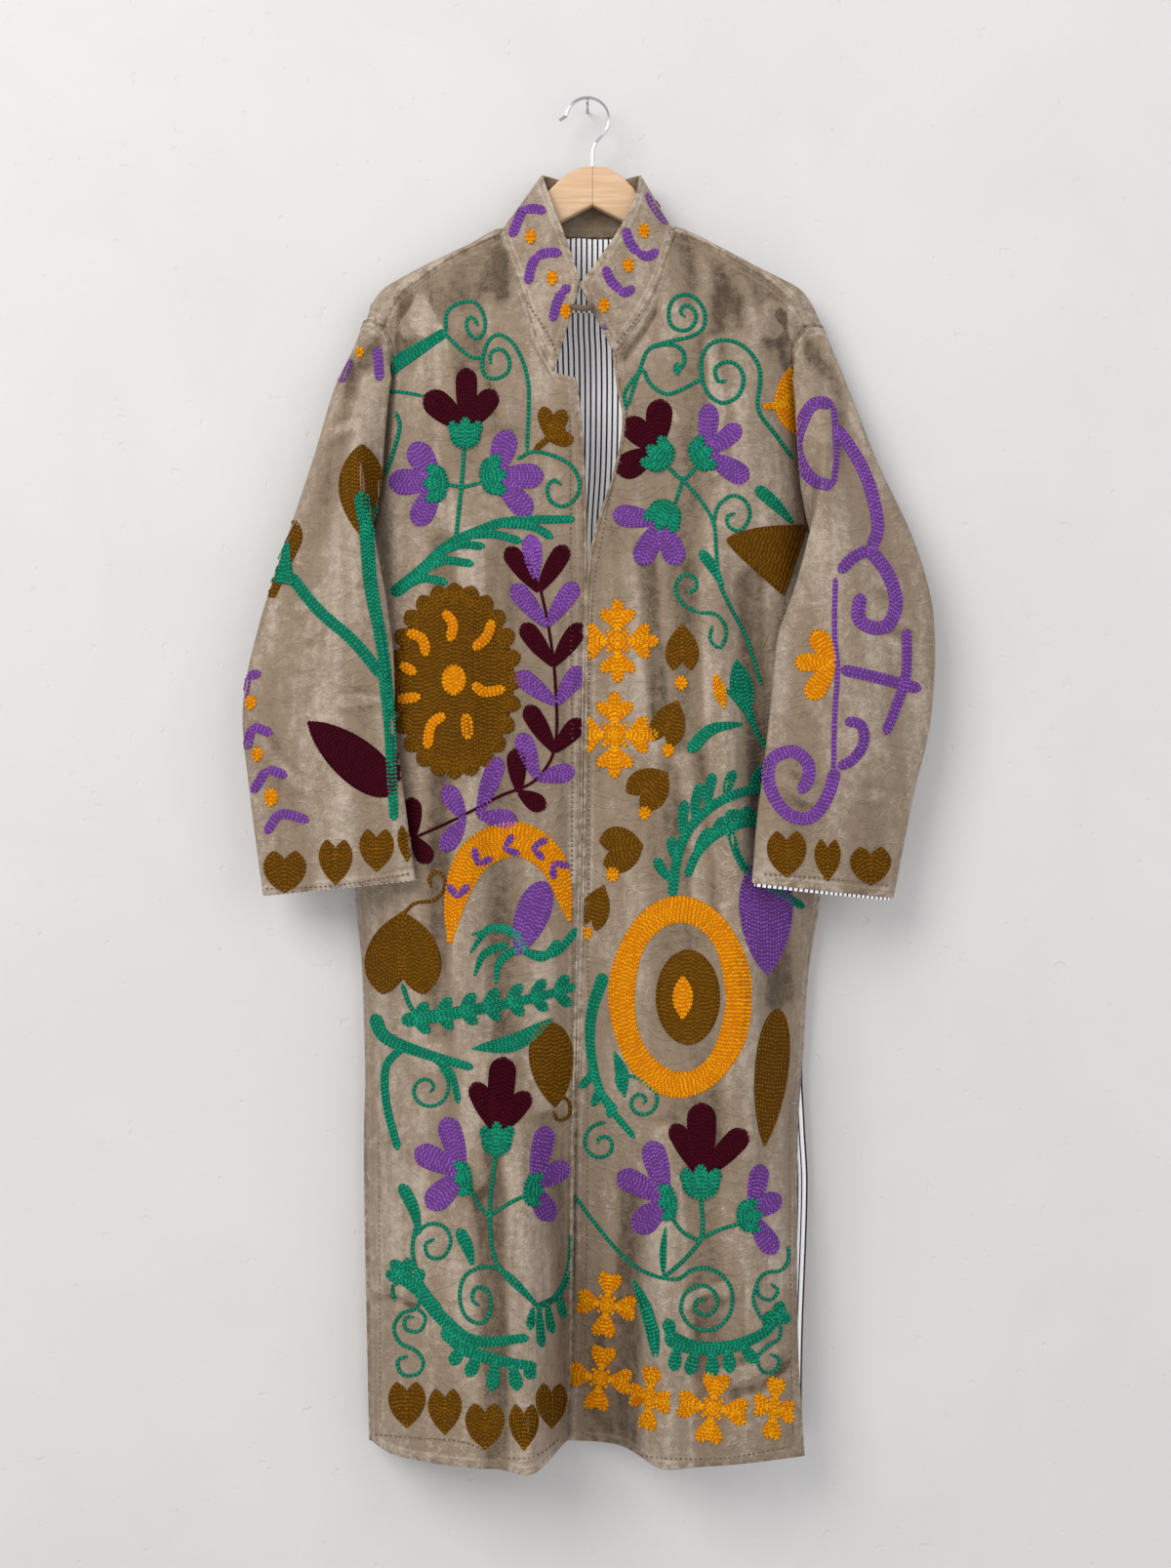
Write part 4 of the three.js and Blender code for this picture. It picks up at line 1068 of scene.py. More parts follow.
class Cloth:
    """A panel that is embroidered: strokes are drawn on the chart, then sewn in one go."""

    def __init__(self, name, grid, is_round=False):
        self.name = name
        lines, places = grid.shape[:2]
        rows = lines if is_round else lines - 1
        i, j = np.meshgrid(np.arange(rows), np.arange(places - 1), indexing="ij")
        i, j = i.ravel(), j.ravel()
        after = (i + 1) % lines
        faces = np.stack([
            i * places + j, after * places + j, after * places + j + 1, i * places + j + 1,
        ], axis=1)
        self.tree = BVHTree.FromPolygons(grid.reshape(-1, 3).tolist(), faces.tolist())
        self.strokes = []
        self.eye = Vector([c / MM for c in CAMERA_PLACE])

    def land(self, x, y):
        """The point of the cloth behind a point of the chart, and its normal."""
        target = Vector((
            (x - CHART_CENTRE[0]) * CHART_UNIT + self.eye.x, 0,
            -(y - CHART_CENTRE[1]) * CHART_UNIT + self.eye.z,
        ))
        place, normal, _, _ = self.tree.ray_cast(self.eye, (target - self.eye).normalized())
        if place is None:
            return None
        if normal.y > 0:
            normal = -normal
        if normal.y > -0.04:
            return None
        return np.array(place), np.array(normal)

    # strokes: a line on the chart with a half-width at each of its points
    def stroke(self, colour, line, half, lift=0.0):
        self.strokes.append((colour, line, half, lift))

    def vine(self, colour, half, points, end_half=None, lift=0.0):
        line = smooth_line(points)
        width = round_ends(len(line), half, len(line))
        if end_half is not None:
            width = np.minimum(width, np.linspace(half, end_half, len(line)))
        self.stroke(colour, line, width, lift)

    def bent(self, x0, y0, x1, y1, bend):
        mid = ((x0 + x1) / 2 - bend * (y1 - y0), (y0 + y1) / 2 + bend * (x1 - x0))
        return smooth_line([(x0, y0), mid, (x1, y1)])

    def leaf(self, colour, half, x0, y0, x1, y1, bend=0.0, lift=0.0):
        """Pointed at both ends."""
        line = self.bent(x0, y0, x1, y1, bend)
        t = np.linspace(0, 1, len(line))
        self.stroke(colour, line, half * np.sin(np.pi * t) ** 0.8, lift)

    def petal(self, colour, half, x0, y0, x1, y1, bend=0.0, lift=0.0):
        """Narrow at its start and round at its far end."""
        line = self.bent(x0, y0, x1, y1, bend)
        length = len(line) - 1
        s = np.arange(length + 1)
        wide = min(half, 0.5 * length)
        rise = np.clip(s / (0.68 * length), 0, 1)
        end = np.clip((length - s) / wide, 0, 1)
        shape = (0.3 + 0.7 * np.sin(rise * math.pi / 2)) * np.sqrt(1 - (1 - end) ** 2)
        self.stroke(colour, line, wide * shape, lift)

    def drop(self, colour, half, x0, y0, x1, y1):
        """Round and full at its start, drawn out to a point."""
        line = smooth_line([(x0, y0), (x1, y1)])
        t = np.linspace(0, 1, len(line))
        self.stroke(colour, line, 1.62 * half * np.sqrt(t) * (1 - t) ** 0.75 / 0.76)

    def spiral(self, colour, half, cx, cy, radius, start, turns, core=0.16):
        count = int(2.2 * math.pi * radius * abs(turns) * 0.6) + 8
        t = np.linspace(0, 1, count)
        angle = np.radians(start + 360 * turns * t)
        reach = radius * (1 - (1 - core) * t ** 0.9)
        line = smooth_line(np.stack(
            [cx + reach * np.cos(angle), cy + reach * np.sin(angle)], axis=-1)[::3])
        self.stroke(colour, line, round_ends(len(line), half, len(line)), 0.0)

    def heart(self, colour, width, height, cx, cy, angle=0.0):
        """Two lobes that meet in a point; at angle 0 the point is at the bottom."""
        for side in (-1, 1):
            points = [(0, 0.5 * height), (side * 0.17 * width, 0.12 * height),
                      (side * 0.25 * width, -0.5 * height)]
            placed = [turned(x, y, angle) for x, y in points]
            line = smooth_line([(cx + x, cy + y) for x, y in placed])
            t = np.linspace(0, 1, len(line))
            half = 0.27 * width * np.sin(np.pi * t ** 1.5) ** 0.6
            self.stroke(colour, line, half)

    def flake(self, colour, cx, cy, radius, lobes, fat, angle=0.0, squeeze=1.0):
        """Four lobed leaves round a dot, with short bars between them."""
        def place(x, y, turn):
            dx, dy = turned(x * radius, -y * radius, turn)
            return cx + dx * squeeze, cy + dy

        for quarter in range(4):
            turn = angle + 90 * quarter
            for out, up in lobes:
                self.petal(colour, fat * radius, *place(0, 0.24, turn),
                           *place(out, up, turn), -0.3 * out)
            self.vine(colour, 0.09 * radius, [place(0, 0.1, turn), place(0, 0.4, turn)])
            self.vine(colour, 0.08 * radius, [place(0, 0, turn), place(0, 0.38, turn + 45)])
        self.disc(colour, cx, cy, 0.14 * radius * squeeze, 0.14 * radius, 0.3)

    def disc(self, colour, cx, cy, rx, ry, lift=0.0):
        self.oval(colour, rx, cx, cy - ry, cx, cy + ry, lift)

    def ring(self, colour, cx, cy, rx, ry, width):
        turn = np.radians(np.linspace(0, 360, 60))
        line = smooth_line(np.stack([
            cx + (rx - width / 2) * np.cos(turn), cy + (ry - width / 2) * np.sin(turn),
        ], axis=-1))
        wobble = 1 + 0.07 * np.sin(np.linspace(0, 9 * math.pi, len(line)) + cx)
        self.stroke(colour, line, width / 2 * wobble)

    def sprig(self, colour, half, points, count, length, leaf_half, sides=(-1, 1), lean=35):
        """A tapering branch with narrow leaves off one side or both."""
        line = smooth_line(points)
        self.stroke(colour, line, np.linspace(half, half * 0.55, len(line)))
        for k in range(count):
            at = int((k + 0.6) / (count + 0.3) * (len(line) - 1))
            ahead = line[min(at + 3, len(line) - 1)] - line[max(at - 3, 0)]
            heading = math.degrees(math.atan2(ahead[1], ahead[0]))
            for side in sides:
                dx, dy = turned(length * (1 - 0.35 * k / count), 0, heading + side * lean)
                x, y = line[at]
                self.petal(colour, leaf_half, x, y, x + dx, y + dy, -0.1 * side)

    def flower(self, colour, root, petals, calyx):
        """Petals (x, y, half) from one root, in a scalloped green cup (x, y, angle, width, depth)."""
        for x, y, half in petals:
            self.petal(colour, half, *root, x, y)
        x, y, angle, width, depth = calyx

        def place(dx, dy):
            dx, dy = turned(dx * width, dy * depth, angle)
            return x + dx, y + dy

        self.oval("green", 0.46 * width, *place(0, 0.5), *place(0, -0.4), 1.2)
        for dx, dy in ((-0.4, -0.48), (0, -0.62), (0.4, -0.48)):
            self.petal("green", 0.17 * width, *place(dx * 0.7, 0.1), *place(dx, dy), 0, 1.2)

    def oval(self, colour, half, x0, y0, x1, y1, lift=0.0):
        line = smooth_line([(x0, y0), (x1, y1)])
        t = np.linspace(-1, 1, len(line))
        self.stroke(colour, line, half * np.sqrt(np.clip(1 - t * t, 0, 1)), lift)

    def topstitch(self, points):
        line = smooth_line(points)
        for k in range(0, len(line) - 4, 5):
            self.stroke("taupe", line[k:k + 4], np.full(4, 0.5), -0.7)

    def rows(self, line, half):
        """Rows of nodes for stitches: down the outline, then filling what it leaves."""
        ahead = np.gradient(line, axis=0)
        ahead /= np.maximum(np.linalg.norm(ahead, axis=1, keepdims=True), 1e-6)
        side = np.stack([-ahead[:, 1], ahead[:, 0]], axis=1)
        widest = half.max()
        out = []
        if widest < ROW_PITCH * 0.8:
            return [line]
        for sign in (-1, 1):
            edge = np.maximum(half - ROW_PITCH * 0.5, 0.0)
            out.append(line + side * (sign * edge)[:, None])
        inside = half - ROW_PITCH * 1.5
        count = int(max(inside.max(), -1) / ROW_PITCH + 0.5) if inside.max() > -0.4 else -1
        for k in range(-count, count + 1):
            offset = k * ROW_PITCH
            keep = inside >= abs(offset) - ROW_PITCH * 0.45
            edges = np.flatnonzero(np.diff(np.concatenate([[0], keep.astype(int), [0]])))
            for a, b in zip(edges[::2], edges[1::2]):
                if b - a > STITCH_LENGTH * 0.7:
                    out.append((line + side * offset)[a:b])
        return out

    def sew(self):
        """Makes one piece of each colour: a low pad, and chain stitches over it."""
        parts = {}
        for colour, line, half, lift in self.strokes:
            points, faces, tone_and_painted_shades = parts.setdefault(colour, ([], [], []))
            self.pad(line, half, lift, points, faces, tone_and_painted_shades)
            for row in self.rows(line, half):
                self.chain(row, lift, points, faces, tone_and_painted_shades)
        for colour, (points, faces, tone_and_painted_shades) in parts.items():
            piece = make_mesh("embroidery_" + self.name + "_" + colour, points, faces,
                              [THREADS[colour]], None, {"shade": tone_and_painted_shades})

    def pad(self, line, half, lift, points, faces, tone_and_painted_shades):
        count = max(2, int(round(len(line) / PAD_STEP)) + 1)
        index = np.linspace(0, len(line) - 1, count).astype(int)
        ahead = np.gradient(line, axis=0)
        ahead /= np.maximum(np.linalg.norm(ahead, axis=1, keepdims=True), 1e-6)
        columns_in = max(1, int(half.max() * 2 / PAD_COLUMN))
        across = [-1.0, *np.linspace(-PAD_EDGE_SHARE, PAD_EDGE_SHARE, columns_in + 1), 1.0]
        before = None
        for at in index:
            x, y = line[at]
            ax, ay = ahead[at]
            row = []
            for share in across:
                reach = share * max(half[at], HALF_LEAST)
                hit = self.land(x - ay * reach, y + ax * reach)
                if hit is None:
                    row.append(None)
                    continue
                height = PAD_EDGE_HEIGHT if abs(share) == 1.0 else PAD_HEIGHT + lift
                row.append(len(points))
                points.append(hit[0] + hit[1] * height)
                # painted shade on the pad between the stitches
                tone_and_painted_shades.append(PAINTED_SHADE_UNDER)
            if before:
                for k in range(len(across) - 1):
                    quad = (before[k], before[k + 1], row[k + 1], row[k])
                    if None in quad:
                        continue
                    corners = [points[q] for q in quad]
                    spread = max(np.linalg.norm(corners[0] - c) for c in corners[1:])
                    if spread < PAD_WIDEST:
                        faces.append(quad[::-1])
            before = row

    def chain(self, row, lift, points, faces, tone_and_painted_shades):
        run = np.concatenate([[0], np.cumsum(np.linalg.norm(np.diff(row, axis=0), axis=1))])
        if run[-1] < ROW_SHORTEST:
            return
        count = max(1, int(round(run[-1] / STITCH_LENGTH)))
        start = RNG.uniform(0, 0.5)
        at = np.linspace(start, run[-1], count + 1)
        at[1:-1] += RNG.uniform(-STEP_SPREAD, STEP_SPREAD, count - 1)
        nodes = [self.land(np.interp(a, run, row[:, 0]), np.interp(a, run, row[:, 1]))
                 for a in at]
        for first, second in zip(nodes[:-1], nodes[1:]):
            if first is None or second is None:
                continue
            a, b = first[0], second[0]
            way = b - a
            length = np.linalg.norm(way)
            if not STITCH_SHORTEST <= length <= STITCH_LONGEST:
                continue
            way = way / length
            up = unit(first[1] + second[1])
            side = np.cross(way, up)
            tone = RNG.uniform(-TONE_SPREAD, TONE_SPREAD)
            for sign in (-1, 1):
                tail = (a - way * TAIL_BACK + side * sign * TAIL_SIDE * STITCH_SPREAD
                        + up * (lift + TAIL_LIFT))
                tip = (b + way * TIP_AHEAD + side * sign * TIP_SIDE * STITCH_SPREAD
                       + up * (lift + TIP_LIFT))
                centre = (tail * 0.45 + tip * 0.55 + side * sign * 0.28 * STITCH_SPREAD
                          + up * (STITCH_HEIGHT * 0.35))
                k = len(points)
                points += [
                    tail, tip,
                    centre + up * STITCH_HEIGHT * 0.62,
                    centre + side * sign * 0.8,
                    centre - up * STITCH_HEIGHT * 0.5,
                    centre - side * sign * 0.7,
                ]
                # painted light and shade: ends dark, top light, sides middling, underside darkest, with
                # the stitch's random tone
                lean = PAINTED_LIGHT_LEAN * sign
                tone_and_painted_shades += [
                    PAINTED_SHADE_UNDER, PAINTED_SHADE_UNDER,
                    PAINTED_LIGHT_TOP + tone + lean, PAINTED_SHADE_OUTER_SIDE + tone, 0.0, PAINTED_SHADE_INNER_SIDE + tone,
                ]
                ring = (k + 2, k + 3, k + 4, k + 5)
                for n in range(4):
                    p, q = ring[n], ring[(n + 1) % 4]
                    if sign > 0:
                        faces.append((k, p, q))
                        faces.append((k + 1, q, p))
                    else:
                        faces.append((k, q, p))
                        faces.append((k + 1, p, q))


RNG = np.random.default_rng(7)
THREADS = {name: thread_material("thread_" + name, tone) for name, tone in COLOURS.items()}
THREADS["taupe"] = thread_material("thread_taupe", srgb(118, 104, 90))
THREADS["ecru"] = thread_material("thread_ecru", srgb(196, 190, 182))


# ---------------------------------------------------------------- the coat
velvet = velvet_material()
lining = lining_material()
wood = wood_material()
steel = steel_material()
rouleau = thread_material("rouleau", srgb(150, 127, 105))

grid_front_right = front_grid(FRONT_RIGHT, CREASES_RIGHT)
grid_front_left = front_grid(FRONT_LEFT, CREASES_LEFT)
grid_back = back_grid()
grid_sleeve_right = sleeve_grid(
    FRONT_RIGHT, HEAD_SEAM_RIGHT, SLEEVE_RIGHT, CREASES_SLEEVE_RIGHT)
grid_sleeve_left = sleeve_grid(
    FRONT_LEFT, HEAD_SEAM_LEFT, SLEEVE_LEFT, CREASES_SLEEVE_LEFT)
grid_collar = collar_grid()

front_right = cloth_shell("front_right_cloth", grid_front_right, -WALL, False, [velvet, velvet])
front_left = cloth_shell("front_left_cloth", grid_front_left, WALL, False, [velvet, lining])
back = cloth_shell("back_cloth", grid_back, -WALL, False, [velvet, lining])
sleeve_right = cloth_shell(
    "sleeve_right_cloth", grid_sleeve_right, -WALL, True, [velvet, lining])
sleeve_left = cloth_shell(
    "sleeve_left_cloth", grid_sleeve_left, WALL, True, [velvet, lining])
collar = cloth_shell("collar_cloth", grid_collar, COLLAR_WALL, False, [velvet, velvet])

FACING_RIGHT = -178
FACING_LEFT = 211
for face in back.data.polygons:
    if not FACING_RIGHT * MM < face.center.x < FACING_LEFT * MM:
        face.material_index = 0

# the back's lining shows in the neck, in the side vent and under the hem
LINING_TOP_DROP = 200
back_normals = normals_of(grid_back, False)
first_row = int(np.argmax(grid_back[len(grid_back) // 2, :, 2] < -LINING_TOP_DROP))
lining_lines = (grid_back[:, -1, 0] > FACING_RIGHT) & (grid_back[:, -1, 0] < FACING_LEFT)
lining_grid = (grid_back - back_normals * (WALL + SEAM_GAP))[lining_lines][:, first_row:]
back_lining = cloth_shell(
    "back_lining", lining_grid, -LINING_WALL, False, [lining, lining])


def cuff_lining(name, sleeve, sign, below):
    """The striped strip inside a cuff, which hangs a little below the velvet."""
    end = sleeve[:, -1]
    up = unit(sleeve[:, -2] - end)
    places = [CUFF_LINING_LENGTH, CUFF_LINING_LENGTH / 2, 0, -below]
    strip = np.stack([end + up * place for place in places], axis=1)
    strip = strip + normals_of(strip, True) * sign * (WALL + SEAM_GAP)
    return cloth_shell(name, strip, sign * LINING_WALL, True, [lining, lining])


cuff_right = cuff_lining("cuff_right_lining", grid_sleeve_right, -1, 0.4)
cuff_left = cuff_lining("cuff_left_lining", grid_sleeve_left, 1, 3)

LOOP_POINTS = [
    (-14.5, -46.1, -212), (-11, -53.5, -214), (-4, -55, -215.5), (2, -53.4, -214.5),
    (5, -51.1, -212),
]
loop = rod_mesh("collar_loop_rouleau", along(LOOP_POINTS, np.linspace(0, 1, 30)), 2.9, rouleau)

for piece, node in (
    (front_right, "front_right"), (front_left, "front_left"), (back, "back"),
    (sleeve_right, "sleeve_right"), (sleeve_left, "sleeve_left"), (collar, "collar"),
    (loop, "collar_loop"), (back_lining, "lining_back"),
    (cuff_right, "cuff_lining_right"), (cuff_left, "cuff_lining_left"),
):
    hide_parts(node)

# ---------------------------------------------------------------- the motifs
THREE_LOBES = ((-0.4, 0.72), (0.4, 0.72), (0.0, 1.0))
TWO_LOBES = ((-0.3, 0.93), (0.3, 0.93))


def sew_front_right(cloth):
    green, purple, burgundy, orange, olive = COLOURS
    # shoulder: a thick leaf with curls beyond it
    cloth.vine(green, 9.5, [(386, 385), (420, 364), (457, 340)], 5)
    cloth.vine(green, 1.9, [(457, 340), (458, 321), (470, 311), (486, 310), (495, 321),
                            (497, 337), (490, 347), (481, 342), (478, 330), (484, 325), (490, 334)])
    cloth.vine(green, 1.9, [(457, 343), (473, 359), (486, 367), (495, 366)])
    cloth.vine(green, 2.0, [(540, 462), (542, 404), (540, 385), (534, 366), (524, 350), (511, 343),
                            (502, 348), (496, 362), (494, 375), (498, 386), (510, 388), (521, 380),
                            (521, 366), (513, 358), (503, 362), (503, 373)])
    cloth.vine(green, 1.8, [(392, 401), (412, 402), (434, 406)])
    cloth.vine(green, 2.0, [(406, 422), (410, 436), (404, 462), (395, 487)])
    # chest: a burgundy tulip between two purple flowers
    cloth.vine(green, 2.2, [(476, 458), (473, 497), (467, 554)])
    cloth.vine(green, 2.0, [(456, 496), (474, 499), (492, 495)])
    cloth.flower(burgundy, (478, 440), [(437, 404, 14), (507, 401, 11.5), (478, 378, 11)],
                 (477, 446, 0, 34, 28))
    cloth.flower(purple, (448, 494), [(423, 455, 13.5), (399, 494, 13.5), (427, 538, 12.5)],
                 (448, 496, -90, 42, 21))
    cloth.flower(purple, (508, 488), [(521, 442, 13), (556, 488, 13), (543, 527, 12)],
                 (504, 488, 82, 42, 24))
    for end in ((557, 418), (578, 421), (587, 450)):
        cloth.petal(olive, 8, 564, 451, *end)
    cloth.oval(olive, 9, 562, 434, 578, 448)
    cloth.vine(olive, 3.4, [(566, 446), (548, 461)])
    cloth.vine(green, 2.0, [(530, 471), (546, 463), (569, 468), (587, 479), (594, 497), (588, 513),
                            (575, 519), (564, 513), (561, 500), (567, 492), (575, 497)])
    # the leafy branch over the rosette
    cloth.vine(green, 7, [(402, 609), (431, 586), (460, 559), (489, 545), (518, 535), (588, 532)], 4)
    for finger in (
        [(476, 549), (508, 548), (534, 555)], [(514, 537), (546, 540), (566, 551)],
        [(444, 570), (470, 559), (496, 560)], [(428, 587), (454, 575), (485, 578)],
        [(412, 602), (434, 593), (458, 597)],
    ):
        cloth.vine(green, 4.3, finger)
    # the scalloped rosette
    for k in range(24):
        dx, dy = turned(1, 0, 360 * k / 24)
        cloth.petal(olive, 10, 466 + 50 * dx, 698 + 78 * dy, 466 + 69 * dx, 698 + 100 * dy)
    cloth.disc(olive, 466, 698, 61, 91)
    cloth.disc(orange, 466, 697, 13, 15, 1.0)
    for stroke in (
        [(455, 627), (465, 639), (462, 657)], [(504, 636), (498, 653), (485, 665)],
        [(418, 648), (433, 655), (437, 672)], [(411, 681), (427, 690)],
        [(485, 700), (494, 709), (517, 706)], [(408, 717), (431, 714)],
        [(457, 733), (443, 742), (438, 767)], [(478, 732), (480, 757)],
    ):
        cloth.vine(orange, 5.4, stroke, None, 1.0)
    # burgundy and purple leaf pairs down a thin vine
    cloth.vine(burgundy, 1.5, [(553, 600), (562, 642), (569, 700), (568, 768), (548, 800),
                               (512, 816), (470, 838), (426, 858)])
    for colour, x, y, left, right in (
        (purple, 549, 594, (543, 549), (544, 551)),
        (burgundy, 552, 606, (520, 562), (580, 560)),
        (purple, 560, 642, (526, 600), (590, 598)),
        (burgundy, 567, 682, (536, 640), (596, 640)),
        (purple, 570, 722, (530, 690), (596, 684)),
        (burgundy, 568, 770, (540, 724), (596, 738)),
        (purple, 550, 798, (534, 752), (588, 790)),
        (burgundy, 532, 812, (528, 768), (558, 828)),
        (purple, 490, 836, (511, 777), (529, 841)),
        (purple, 476, 840, (457, 806), (454, 871)),
        (burgundy, 424, 858, (422, 818), (440, 884)),
    ):
        for end in (left, right):
            cloth.petal(colour, 9.8, x, y, *end)
    # the orange crescent with purple sprigs on it
    arc = smooth_line([(461, 966), (468, 918), (488, 876), (530, 860), (566, 884), (584, 944)])
    t = np.linspace(0, 1, len(arc))
    cloth.stroke(orange, arc, 18 * np.sin(np.pi * np.clip(t, 0.03, 0.98)) ** 0.7)
    for x, y, angle in ((470, 920, 0), (488, 886, 30), (516, 870, 70), (545, 868, 100),
                        (566, 884, 140)):
        for side in (-38, 38):
            dx, dy = turned(0, -17, angle + side)
            cloth.petal(purple, 4, x, y, x + dx, y + dy, 0, 1.0)
    # a purple bud over green leaves
    cloth.drop(purple, 19, 558, 904, 530, 978)
    for x0, y0, x1, y1, bend in (
        (484, 958, 540, 972, -0.25), (482, 976, 534, 958, -0.3), (486, 1000, 520, 968, -0.2),
        (530, 972, 592, 952, 0.25), (508, 1008, 530, 972, -0.2), (534, 976, 572, 964, 0.3),
    ):
        cloth.petal(green, 4.2, x0, y0, x1, y1, bend)
    # a big olive heart hung from a curl
    cloth.heart(olive, 82, 84, 413, 976, 180)
    cloth.vine(olive, 1.8, [(412, 938), (425, 926), (446, 922), (457, 906), (450, 894),
                            (440, 899), (442, 909)])
    # long leaves and a curled branch
    cloth.vine(green, 7.5, [(412, 1046), (455, 1040), (500, 1032), (550, 1022), (594, 1010)], 4)
    for k in range(7):
        x, y = 424 + 24 * k, 1044 - 4.6 * k
        cloth.petal(green, 6, x, y, x + 14, y - 16)
        cloth.petal(green, 6, x, y, x + 16, y + 14)
    cloth.leaf(green, 9, 484, 1075, 566, 1044, 0.1)
    cloth.vine(green, 7.5, [(383, 1040), (394, 1062), (430, 1078), (484, 1094)], 4)
    cloth.vine(green, 4.2, [(412, 1074), (396, 1092), (396, 1130), (408, 1178)])
    cloth.vine(green, 3.6, [(444, 1084), (462, 1100), (470, 1130)])
    cloth.spiral(green, 1.8, 438, 1116, 25, -60, 1.3)
    cloth.vine(green, 2.4, [(412, 1008), (420, 1030), (430, 1044)])
    # an olive drop with a curled end
    cloth.drop(olive, 25, 562, 1048, 569, 1134)
    cloth.vine(olive, 1.8, [(566, 1120), (582, 1128), (583, 1143), (572, 1148), (567, 1139)])
    # the lower tulip and its flowers
    cloth.vine(green, 2.2, [(508, 1182), (502, 1245), (510, 1296), (552, 1340)])
    cloth.vine(green, 2.0, [(480, 1212), (490, 1234), (502, 1248)])
    cloth.vine(green, 2.0, [(541, 1224), (522, 1233), (502, 1246)])
    cloth.flower(burgundy, (510, 1162), [(486, 1110, 10.5), (541, 1120, 10.5), (516, 1084, 14)],
                 (509, 1169, 0, 34, 31))
    cloth.flower(purple, (475, 1202), [(457, 1146, 12), (426, 1179, 12.5), (439, 1237, 13.5)],
                 (476, 1207, -98, 40, 15))
    cloth.flower(purple, (547, 1216), [(560, 1155, 11), (582, 1194, 11), (565, 1251, 11.5)],
                 (545, 1219, 96, 38, 17))
    # leaves, curls and a thick fingered branch above the hem
    cloth.petal(green, 6.5, 430, 1264, 411, 1214, 0.06)
    cloth.vine(green, 2.0, [(426, 1256), (423, 1284), (434, 1318), (452, 1340)])
    cloth.vine(green, 1.9, [(424, 1268), (438, 1255), (455, 1257), (462, 1272), (454, 1288),
                            (440, 1288), (436, 1275), (445, 1270)])
    cloth.petal(green, 6.5, 484, 1296, 470, 1260, 0.05)
    cloth.vine(green, 2.0, [(552, 1340), (524, 1308), (500, 1298), (478, 1306), (471, 1328),
                            (478, 1350), (494, 1356), (503, 1340), (499, 1322), (487, 1320),
                            (484, 1332), (491, 1338)])
    cloth.vine(green, 8.5, [(404, 1302), (428, 1320), (452, 1350), (486, 1374), (541, 1371)], 4.5)
    cloth.vine(green, 8, [(454, 1362), (480, 1384), (520, 1396), (549, 1400)], 4.5)
    for x0, y0, x1, y1 in (
        (414, 1310, 396, 1305), (414, 1308, 402, 1292), (418, 1308, 418, 1290),
        (424, 1312, 434, 1302), (466, 1372, 453, 1366), (474, 1380, 463, 1398),
        (490, 1388, 480, 1410), (508, 1394, 504, 1424), (524, 1398, 531, 1424),
        (538, 1400, 547, 1412),
    ):
        cloth.petal(green, 7, x0, y0, x1, y1)
    for curl in (
        [(405, 1334), (403, 1318), (418, 1312), (430, 1322), (427, 1340), (412, 1346),
         (404, 1360), (410, 1376), (426, 1384), (434, 1396), (428, 1408), (412, 1408),
         (408, 1394), (418, 1390)],
        [(427, 1340), (436, 1350), (430, 1364), (416, 1362), (416, 1350), (424, 1350)],
    ):
        cloth.vine(green, 1.9, curl)
    cloth.vine(green, 3.4, [(586, 1262), (584, 1296), (571, 1328), (549, 1340)])
    for x0, y0, x1, y1 in ((552, 1338, 555, 1380), (560, 1334, 566, 1366), (546, 1340, 543, 1362),
                           (572, 1326, 578, 1350)):
        cloth.petal(green, 4.6, x0, y0, x1, y1)
    for x, y, width, height in (
        (417, 1440, 40, 46), (456, 1447, 36, 46), (497, 1462, 42, 46), (537, 1463, 32, 46),
        (565, 1441, 34, 46),
    ):
        cloth.heart(olive, width, height, x, y)
    cloth.topstitch([(584, 425), (585, 600), (586, 800), (586, 1000), (586, 1200), (584, 1440)])
    cloth.topstitch([(384, 1470), (430, 1474), (475, 1478), (514, 1493), (546, 1493), (574, 1474)])
    cloth.topstitch([(388, 1150), (389, 1300), (390, 1462)])


